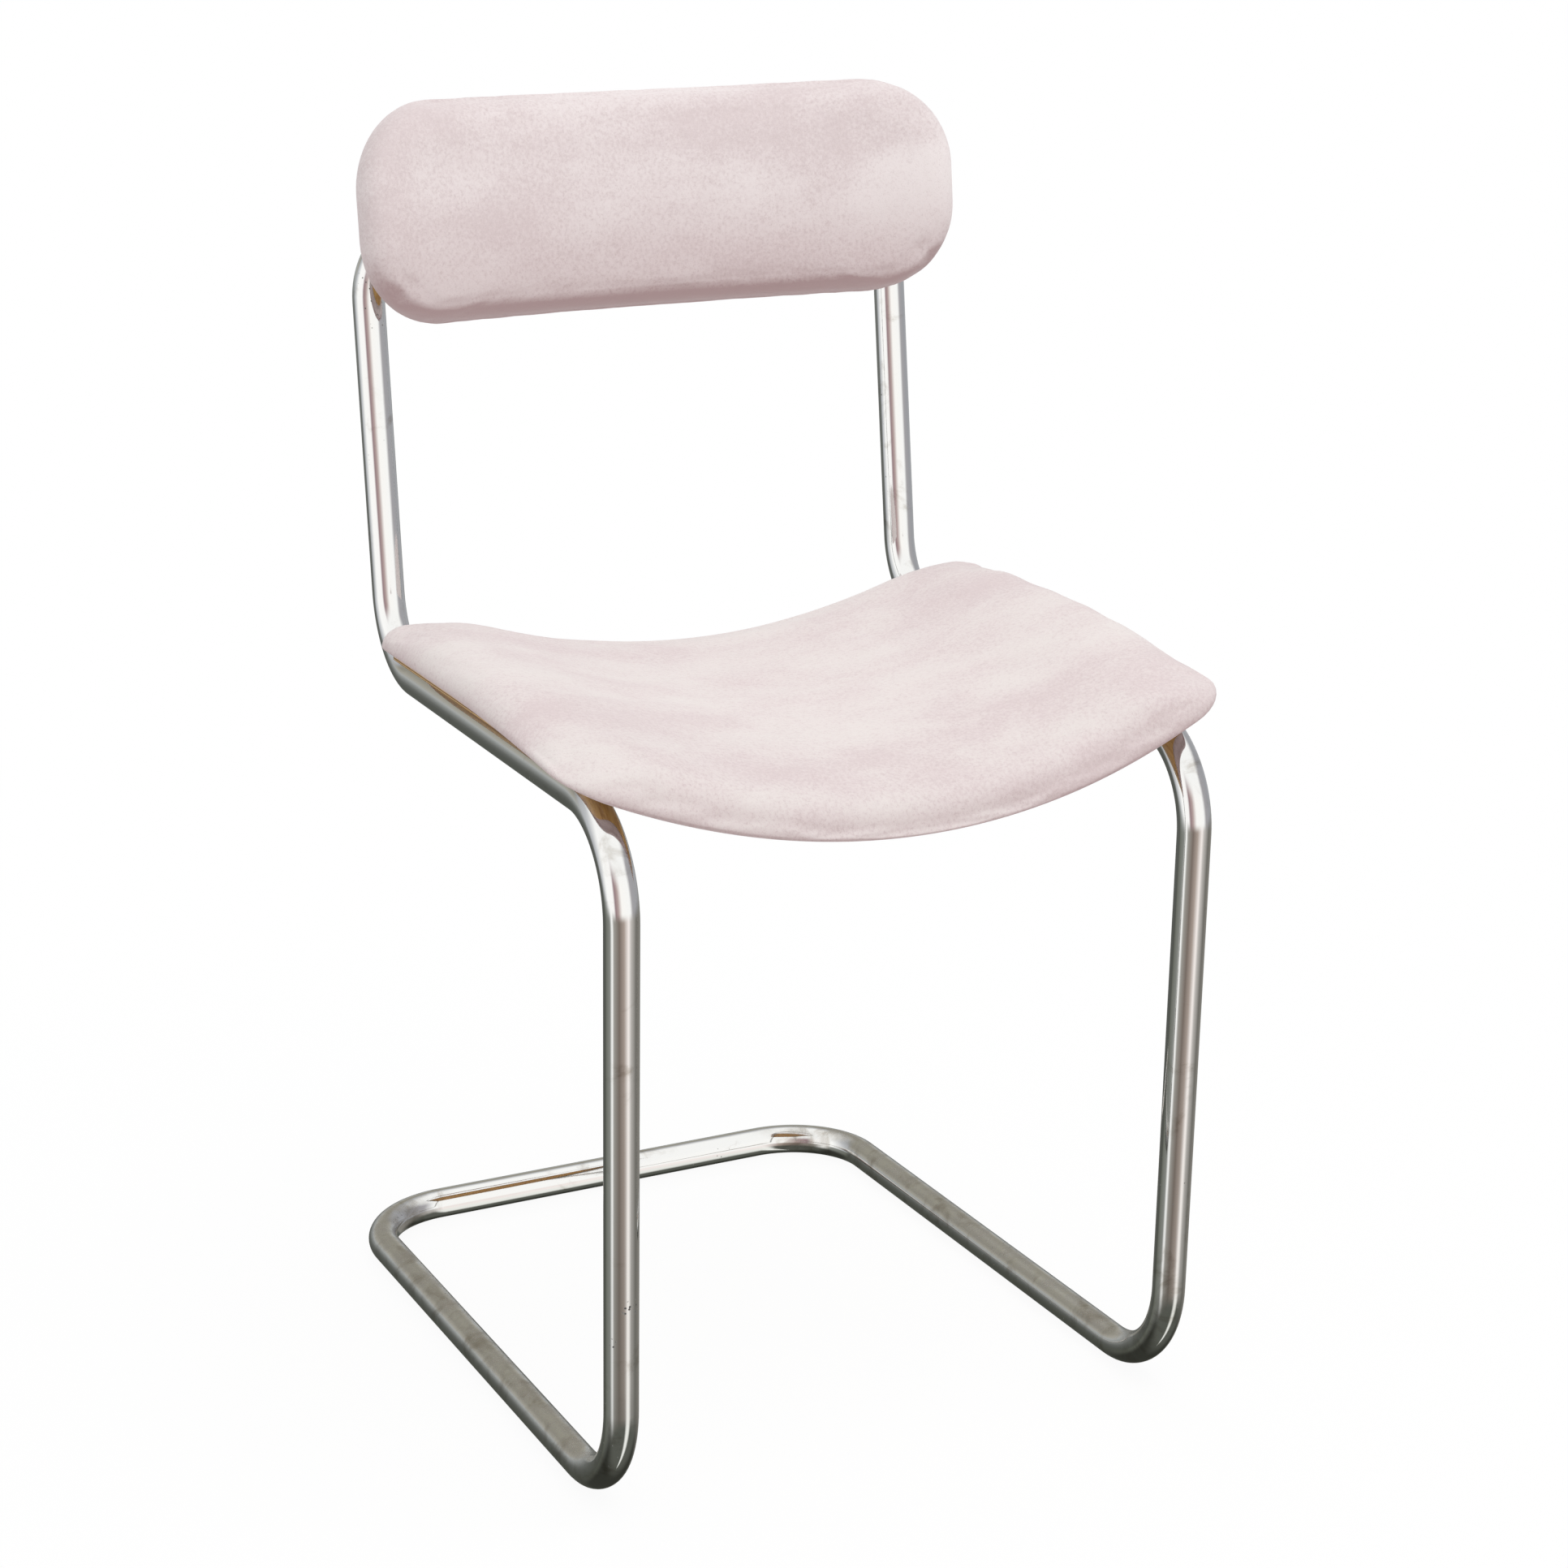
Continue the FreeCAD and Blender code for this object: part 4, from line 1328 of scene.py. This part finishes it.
@dataclass(frozen=True)
class Seat:
    """The upholstered seat and its closing shell.

    A lift is how far the pad rises above its even form; the places where it fades in or out are
    steps across or along the seat.  freed is a step of the upward part of a normal.
    """

    sizes: FrameSizes = field(default_factory=FrameSizes)
    surfaces: SeatSurfaces = field(default_factory=SeatSurfaces)
    stuffing: Stuffing = field(default_factory=Stuffing)
    shell_thickness: float = 3.5 * MM
    shell_inset: tuple = (3.0 * MM, 14 * MM)
    board_thickness: float = 5 * MM
    board_inset: float = 12 * MM
    board_corner: float = 80 * MM
    board_lift: float = 5.4 * MM
    allowance: float = 1.6 * MM
    least_height: float = 4 * MM
    rim: Rim = Rim(under=4 * MM, upper_share=0.86)
    rounding: tuple = (19 * MM, 13 * MM, 8 * MM)
    rounding_ends: tuple = (50 * MM, 40 * MM)
    shoulder_lift: float = 4.5 * MM
    shoulder_across: tuple = (150 * MM, 208 * MM)
    shoulder_along: tuple = (20 * MM, 170 * MM)
    shoulder_fade: float = 70 * MM
    rear_lift: float = 2.6 * MM
    rear_across: tuple = (190 * MM, 60 * MM)
    rear_start: float = 200 * MM
    rear_growth: float = 3 * MM
    turned_under: float = 0.8 * MM
    skirt: tuple = (6 * MM, 2 * MM)
    freed: tuple = (-0.75, -0.2)

    def place(self, x: Array, y: Array, z: Array) -> Array:
        """Seat coordinates as points of the chair."""
        flat = np.stack([x, y, z], axis=-1)
        return turned_about_x(flat, self.sizes.rail_slope, self.sizes.seat_origin())

    def local(self, points: Array) -> Array:
        """Points of the chair in the seat's own frame."""
        moved = points - self.sizes.seat_origin()
        return turned_about_x(moved, -self.sizes.rail_slope, np.zeros(3))

    def shell(self) -> Piece:
        """Makes the closing shell under the pad.

        Returns:
            Its piece, a moulded plywood panel.
        """
        disc = Disc(self.surfaces.outline(*self.shell_inset, 4 * MM))
        piece = plywood_panel("seat_shell_veneer", disc, self.surfaces.shell_under,
                              self.shell_thickness, self.place)
        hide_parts("seat_shell")
        return dressed(piece, LACQUERED)

    def board(self) -> Piece:
        """Makes the inner board that the foam lies on.

        Returns:
            Its piece, a moulded plywood panel.
        """
        plan = replace(self.surfaces, front_corner=self.board_corner)
        disc = Disc(plan.outline(self.board_inset, self.board_inset, 6 * MM), rings=24)
        piece = plywood_panel("seat_board_veneer", disc,
                              lambda x, y: self.surfaces.shell_under(x, y) + self.board_lift,
                              self.board_thickness, self.place)
        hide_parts("seat_board")
        return dressed(piece, BARE_PLY)

    def _faces(self, x: Array, y: Array, inside: Array) -> tuple[Array, Array]:
        """The pad's lower and upper face before it is filled.

        Args:
            x: across.
            y: along.
            inside: distance of each point from the edge.

        Returns:
            Both heights.  The outermost edge comes down past the shell's edge, as the turned-under
            velvet is, and the upper face rises at the shoulders and in the middle of the rear.
        """
        surfaces = self.surfaces
        base = surfaces.cover_base(x, y)
        hang = np.clip(base - surfaces.fabric_under(x, y), 0, None) + self.turned_under
        low = base - hang * smoothstep(*self.skirt, inside)
        shoulder = (smoothstep(*self.shoulder_across, np.abs(x))
                    * smoothstep(*self.shoulder_along, y)
                    * smoothstep(surfaces.rear, surfaces.rear - self.shoulder_fade, y))
        rear = (smoothstep(*self.rear_across, np.abs(x))
                * smoothstep(self.rear_start, surfaces.rear, y))
        high = surfaces.sitting(x, y) - self.allowance
        high = high + self.shoulder_lift * shoulder + self.rear_lift * rear
        return low, np.maximum(high, base + self.least_height)

    def pad(self) -> Piece:
        """Makes the velvet pad, which starts a little inside its final form and is filled out.

        Returns:
            Its piece, which stands for cover and foam.
        """
        surfaces = self.surfaces
        x, y, inside = Disc(surfaces.outline(self.allowance, self.allowance), rings=52).spread()
        front, side, rear = self.rounding
        stations = [surfaces.front, self.rounding_ends[0],
                    surfaces.rear - self.rounding_ends[1], surfaces.rear]
        reach = np.interp(y[-1], stations, [front, side, side, rear])
        low, high = self.rim.joined(*self._faces(x, y, inside), inside, reach)
        piece = pad_body("seat_velvet", x, y, low, high, self.place)
        self.stuffing.fill(piece, self._freedom)
        self._settle(piece)
        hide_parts("seat_cover", "seat_foam")
        return dressed(piece, SEAT_VELVET)

    def _freedom(self, points: Array, normals: Array) -> Array:
        """0 on the underside, which is held flat on the board, and 1 on the rest."""
        return smoothstep(*self.freed, normals[:, 2])

    def _settle(self, piece: Piece) -> None:
        """Brings the filled pad to its width, length and mean height.

        Args:
            piece: the pad.  Its height is matched in the middle, and less and less down the sides.
        """
        surfaces = self.surfaces
        own = self.local(vertex_points(piece.data))
        self.stuffing.fitted(own, 0, -surfaces.half_width, surfaces.half_width)
        self.stuffing.fitted(own, 1, surfaces.front, surfaces.rear + self.rear_growth)
        x, y, z = own.T
        level, base = surfaces.sitting(x, y), surfaces.cover_base(x, y)
        middle = (np.abs(x) < surfaces.shoulder_start) & (vertex_normals(piece.data)[:, 2] > 0.7)
        middle &= (y > surfaces.front + self.rounding[0]) & (y < self.rear_start)
        share = np.clip((z - base) / np.maximum(level - base, self.least_height), 0, 1)
        own[:, 2] += np.mean((level - z)[middle]) * share
        set_points(piece.data, self.place(*own.T))


@dataclass(frozen=True)
class Backrest:
    """The upholstered backrest and its closing shell.

    spread is where its two ends lie across, and freed is a step of a normal's rearward part.
    """

    sizes: FrameSizes = field(default_factory=FrameSizes)
    surfaces: BackSurfaces = field(default_factory=BackSurfaces)
    stuffing: Stuffing = field(default_factory=lambda: Stuffing(crease=0.25 * MM, seed=11))
    shell_thickness: float = 3.5 * MM
    shell_inset: float = 9 * MM
    board_thickness: float = 5 * MM
    board_inset: float = 9 * MM
    board_lift: float = 5.4 * MM
    allowance: float = 1.6 * MM
    rim: Rim = Rim(under=4 * MM, upper_share=0.74)
    rounding: float = 14 * MM
    spread: tuple = (-219.8 * MM, 217.4 * MM)
    hang: float = 1.6 * MM
    freed: tuple = (0.75, 0.2)

    def place(self, x: Array, z: Array, lift: Array) -> Array:
        """Backrest coordinates as points of the chair."""
        points = self.surfaces.place(x, z, lift)
        return turned_about_x(points, -self.sizes.back_lean, self.sizes.back_origin())

    def shell(self) -> Piece:
        """Makes the closing shell behind the pad.

        Returns:
            Its piece, a moulded plywood panel.
        """
        disc = Disc(self.surfaces.outline(self.shell_inset, 4 * MM))
        piece = plywood_panel("back_shell_veneer", disc, lambda x, z: np.zeros_like(x),
                              self.shell_thickness, self.place)
        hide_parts("back_shell")
        return dressed(piece, LACQUERED_ACROSS)

    def board(self) -> Piece:
        """Makes the inner board that the foam lies on.

        Returns:
            Its piece, a moulded plywood panel.
        """
        disc = Disc(self.surfaces.outline(self.board_inset, 6 * MM), rings=24)
        piece = plywood_panel("back_board_veneer", disc,
                              lambda x, z: np.full_like(x, self.board_lift),
                              self.board_thickness, self.place)
        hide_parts("back_board")
        return dressed(piece, BARE_PLY)

    def pad(self) -> Piece:
        """Makes the velvet pad, which starts a little inside its final form and is filled out.

        Returns:
            Its piece, which stands for cover and foam.
        """
        surfaces = self.surfaces
        x, z, inside = Disc(surfaces.outline(self.allowance, 4 * MM), rings=36).spread()
        low = np.full_like(x, surfaces.cover_low)
        high = np.full_like(x, surfaces.high - self.allowance)
        low, high = self.rim.joined(low, high, inside, self.rounding)
        piece = pad_body("back_velvet", x, z, low, high, self.place)
        self.stuffing.fill(piece, self._freedom)
        self._settle(piece)
        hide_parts("back_cover", "back_foam")
        return dressed(piece, BACK_VELVET)

    def _freedom(self, points: Array, normals: Array) -> Array:
        """0 on the rear face, which is held on the board, and 1 on the rest."""
        return smoothstep(*self.freed, normals[:, 1])

    def _settle(self, piece: Piece) -> None:
        """Brings the filled pad to its full width and height.

        Args:
            piece: the pad.
        """
        surfaces, lean, origin = self.surfaces, self.sizes.back_lean, self.sizes.back_origin()
        own = turned_about_x(vertex_points(piece.data) - origin, lean, np.zeros(3))
        self.stuffing.fitted(own, 0, *self.spread)
        self.stuffing.fitted(own, 2, surfaces.rise - surfaces.half_height - self.hang,
                             surfaces.rise + surfaces.half_height)
        set_points(piece.data, turned_about_x(own, -lean, origin))


class Hardware:
    """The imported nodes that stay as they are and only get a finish."""

    FINISHES = {
        PLATED: ("joint_spigot", "joint_pins", "seat_screws", "seat_tee_nuts", "seat_staples",
                 "back_screws", "back_washers", "back_tee_nuts", "back_staples"),
        SPACER: ("seat_saddles", "back_saddles"),
    }

    def dress(self) -> list[str]:
        """Gives each node its finish.

        Returns:
            The names of the dressed nodes.
        """
        done = []
        for finish, names in self.FINISHES.items():
            for name in names:
                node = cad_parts[name]
                node.data.materials.clear()
                node.data.materials.append(finish.material())
                done.append(name)
        return done


# The studio
@dataclass(frozen=True)
class Viewpoint:
    """The photograph's camera, solved from the outline of the tube."""

    place: tuple = (-0.89876, -2.00019, 0.99953)
    azimuth: float = -25.06
    elevation: float = 13.38
    roll: float = -1.08
    focal: float = 4086.56
    image: float = 1932.0
    centre: tuple = (962.9, 815.88)
    sensor: float = 36.0
    clip: tuple = (0.05, 60.0)

    def build(self) -> None:
        """Makes the camera.

        Its axes come from azimuth, elevation and roll, and its small shift from how far the solved
        centre lies from the middle of the picture.
        """
        azimuth, elevation, roll = map(math.radians, (self.azimuth, self.elevation, self.roll))
        back = Vector((math.sin(azimuth) * math.cos(elevation),
                       -math.cos(azimuth) * math.cos(elevation), math.sin(elevation)))
        level = Vector((math.cos(azimuth), math.sin(azimuth), 0))
        upright = back.cross(level)
        right = level * math.cos(roll) + upright * math.sin(roll)
        up = upright * math.cos(roll) - level * math.sin(roll)
        data = bpy.data.cameras.new("camera")
        data.sensor_width = self.sensor
        data.lens = self.focal / self.image * self.sensor
        data.shift_x = 0.5 - self.centre[0] / self.image
        data.shift_y = self.centre[1] / self.image - 0.5
        data.clip_start, data.clip_end = self.clip
        camera = bpy.data.objects.new("camera", data)
        turn = Matrix((right, up, back)).transposed().to_4x4()
        camera.matrix_world = Matrix.Translation(self.place) @ turn
        bpy.context.scene.collection.objects.link(camera)
        bpy.context.scene.camera = camera


@dataclass(frozen=True)
class Lamp:
    """A soft rectangular lamp that looks at the seat and isn't mirrored."""

    name: str
    place: tuple
    power: float
    size: tuple
    target: tuple = (0.0, 0.0, 0.45)

    def build(self) -> None:
        """Makes the lamp and turns it to its target."""
        data = bpy.data.lights.new(self.name, "AREA")
        data.shape = "RECTANGLE"
        data.size, data.size_y = self.size
        data.energy = self.power
        lamp = bpy.data.objects.new(self.name, data)
        lamp.location = self.place
        lamp.visible_glossy = False
        towards = Vector(self.target) - Vector(self.place)
        lamp.rotation_mode = "QUATERNION"
        lamp.rotation_quaternion = towards.to_track_quat("-Z", "Y")
        bpy.context.scene.collection.objects.link(lamp)


def greys(*stops: tuple[float, float, float, float]) -> tuple:
    """Stops of a colour ramp from positions and display colours."""
    return tuple((place, linear(*colour)) for place, *colour in stops)


@dataclass(frozen=True)
class Studio:
    """Plain white studio: floor, room for the chrome to mirror, and soft lamps.

    ambient is the even light from below and what is added to it from above.  The stops of the two
    rooms go round the horizon, and those of the rear room from straight down to straight up.
    """

    viewpoint: Viewpoint = field(default_factory=Viewpoint)
    ambient: tuple = (0.28, 0.50)
    lamps: tuple = (
        Lamp("key_lamp", (0.5, -1.3, 3.1), 24, (1.6, 1.6)),
        Lamp("fill_lamp", (-0.4, -2.9, 2.0), 8, (1.4, 1.8)),
        Lamp("rear_lamp", (0.4, 2.6, 2.2), 16, (2.0, 1.0)),
    )
    floor_size: float = 30.0
    floor_glow: float = 0.93
    floor_fade: tuple = (0.4, 1.8)
    room_light: float = 1.42
    ceiling: tuple = linear(250, 250, 250)
    ground: tuple = linear(86, 88, 82)
    deep_ground: tuple = linear(50, 51, 46)
    lit_ground: tuple = linear(236, 237, 233)
    horizon: tuple = (-0.30, -0.14)
    overhead: tuple = (0.42, 0.80)
    under_chair: tuple = (-0.15, 0.35)
    lit_start: tuple = (0.575, 0.625)
    lit_end: tuple = (0.70, 0.65)
    downward: tuple = (-0.40, -0.72)
    rearward: tuple = (0.66, 0.80)
    rear_room: tuple = greys(
        (0.00, 48, 49, 44), (0.25, 72, 74, 68), (0.35, 84, 86, 82), (0.41, 98, 100, 97),
        (0.46, 120, 122, 120), (0.50, 136, 139, 138), (0.56, 166, 168, 167), (0.62, 162, 159, 150),
        (0.70, 142, 139, 129), (0.79, 150, 147, 136), (0.90, 208, 208, 202), (1.00, 250, 250, 250))
    low_room: tuple = greys(
        (0.00, 128, 126, 120), (0.16, 94, 97, 88), (0.29, 134, 136, 132), (0.332, 254, 254, 254),
        (0.37, 158, 155, 150), (0.465, 122, 110, 103), (0.55, 172, 158, 150),
        (0.632, 248, 240, 238), (0.68, 190, 186, 183), (0.79, 112, 110, 105),
        (0.87, 124, 121, 116), (1.00, 128, 126, 120))
    high_room: tuple = greys(
        (0.00, 166, 167, 170), (0.13, 136, 138, 142), (0.22, 190, 192, 196), (0.29, 254, 254, 254),
        (0.39, 254, 252, 252), (0.42, 150, 126, 130), (0.47, 184, 164, 162), (0.53, 254, 252, 250),
        (0.67, 252, 252, 252), (0.72, 166, 164, 168), (0.83, 156, 157, 162), (1.00, 166, 167, 170))

    def build(self) -> None:
        """Makes the whole studio."""
        self.viewpoint.build()
        for lamp in self.lamps:
            lamp.build()
        self._room()
        self._floor()
        bpy.context.scene.view_settings.view_transform = "Standard"

    def _banded(self, tree: Tree) -> Value:
        """The room's colour, which depends on direction only.

        Args:
            tree: the world's tree.

        Returns:
            The colour.  Round the horizon it is warm grey towards the camera, then a bright window
            on each side, then grey; it is white above and dark below.  Behind the chair it has its
            own column of greys, which the runners and rails mirror.
        """
        seen = tree.add("ShaderNodeTexCoord", output="Generated")
        side, ahead, height = (seen.axis(name) for name in "XYZ")
        bearing = math.radians(self.viewpoint.azimuth)
        across = side * math.cos(bearing) + ahead * math.sin(bearing)
        towards = side * math.sin(bearing) - ahead * math.cos(bearing)
        around = tree.add("ShaderNodeMath", {"operation": "ARCTAN2"}, {0: across, 1: towards})
        share = around / FULL_TURN + 0.5
        low, high = (tree.add("ShaderNodeValToRGB", {"stops": stops}, {0: share})
                     for stops in (self.low_room, self.high_room))
        behind = tree.add("ShaderNodeValToRGB", {"stops": self.rear_room}, {0: height * 0.5 + 0.5})
        band = tree.mix(height.step(*self.horizon), low, high)
        sky = tree.mix((height + towards * 0.25).step(*self.overhead), band, self.ceiling)
        below = tree.mix(ahead.step(*self.under_chair), self.ground, self.deep_ground)
        wedge = share.step(*self.lit_start) * share.step(*self.lit_end)
        lit = tree.mix(wedge, below, self.lit_ground)
        shallow = tree.mix(height.step(*self.downward), sky, lit)
        return tree.mix(ahead.step(*self.rearward), shallow, behind)

    def _room(self) -> None:
        """The world: white to the camera, even to cloth, and a banded room to the chrome."""
        world = bpy.data.worlds.new("room")
        bpy.context.scene.world = world
        world.use_nodes = True
        tree = Tree(world.node_tree)
        rays = tree.add("ShaderNodeLightPath")
        height = tree.add("ShaderNodeTexCoord", output="Generated").axis("Z")
        soft = height.step(-0.7, 0.7) * self.ambient[1] + self.ambient[0]
        lights = ((WHITE, soft), (self._banded(tree), self.room_light), (WHITE, 1.0))
        even, mirrored, plain = (
            tree.add("ShaderNodeBackground", {}, {"Color": colour, "Strength": strength})
            for colour, strength in lights)
        unseen = tree.add("ShaderNodeMixShader", {},
                          {0: rays.part("Is Glossy Ray"), 1: even, 2: mirrored})
        final = tree.add("ShaderNodeMixShader", {},
                         {0: rays.part("Is Camera Ray"), 1: unseen, 2: plain})
        tree.add("ShaderNodeOutputWorld", {}, {"Surface": final})

    def _floor(self) -> None:
        """A wide floor that keeps only the soft shadow; the rest is as white as the world."""
        half = self.floor_size / 2
        corners = np.array([[-half, -half, 0], [half, -half, 0], [half, half, 0], [-half, half, 0]])
        floor = mesh_object("floor", corners, [np.array([[0, 1, 2, 3]])])
        material = bpy.data.materials.new("white_floor")
        material.use_nodes = True
        tree = Tree(material.node_tree)
        matte = tree.add("ShaderNodeBsdfDiffuse", {}, {"Color": self.ceiling})
        glow = tree.add("ShaderNodeEmission", {}, {"Color": WHITE, "Strength": 1.0})
        rays = tree.add("ShaderNodeLightPath")
        far = tree.add("ShaderNodeVectorMath", {"operation": "LENGTH"}, {0: tree.place()}, "Value")
        whiter = far.step(*self.floor_fade) * (1 - self.floor_glow)
        shown = rays.part("Is Camera Ray") * (self.floor_glow + whiter)
        mixed = tree.add("ShaderNodeMixShader", {}, {0: shown, 1: matte, 2: glow})
        tree.add("ShaderNodeOutputMaterial", {}, {"Surface": mixed})
        floor.data.materials.append(material)
        floor.visible_glossy = False


def main() -> None:
    """Builds the studio and the chair piece by piece."""
    logging.basicConfig(level=logging.INFO, format="%(name)s: %(message)s")
    Studio().build()
    tube, seat, back = TubeFrame(), Seat(), Backrest()
    for build in (tube.build, seat.shell, seat.board, seat.pad, back.shell, back.board, back.pad):
        piece = build()
        log.info("%s: %d faces", piece.name, len(piece.data.polygons))
    log.info("dressed as packed: %s", ", ".join(Hardware().dress()))


if __name__ == "__main__":
    main()
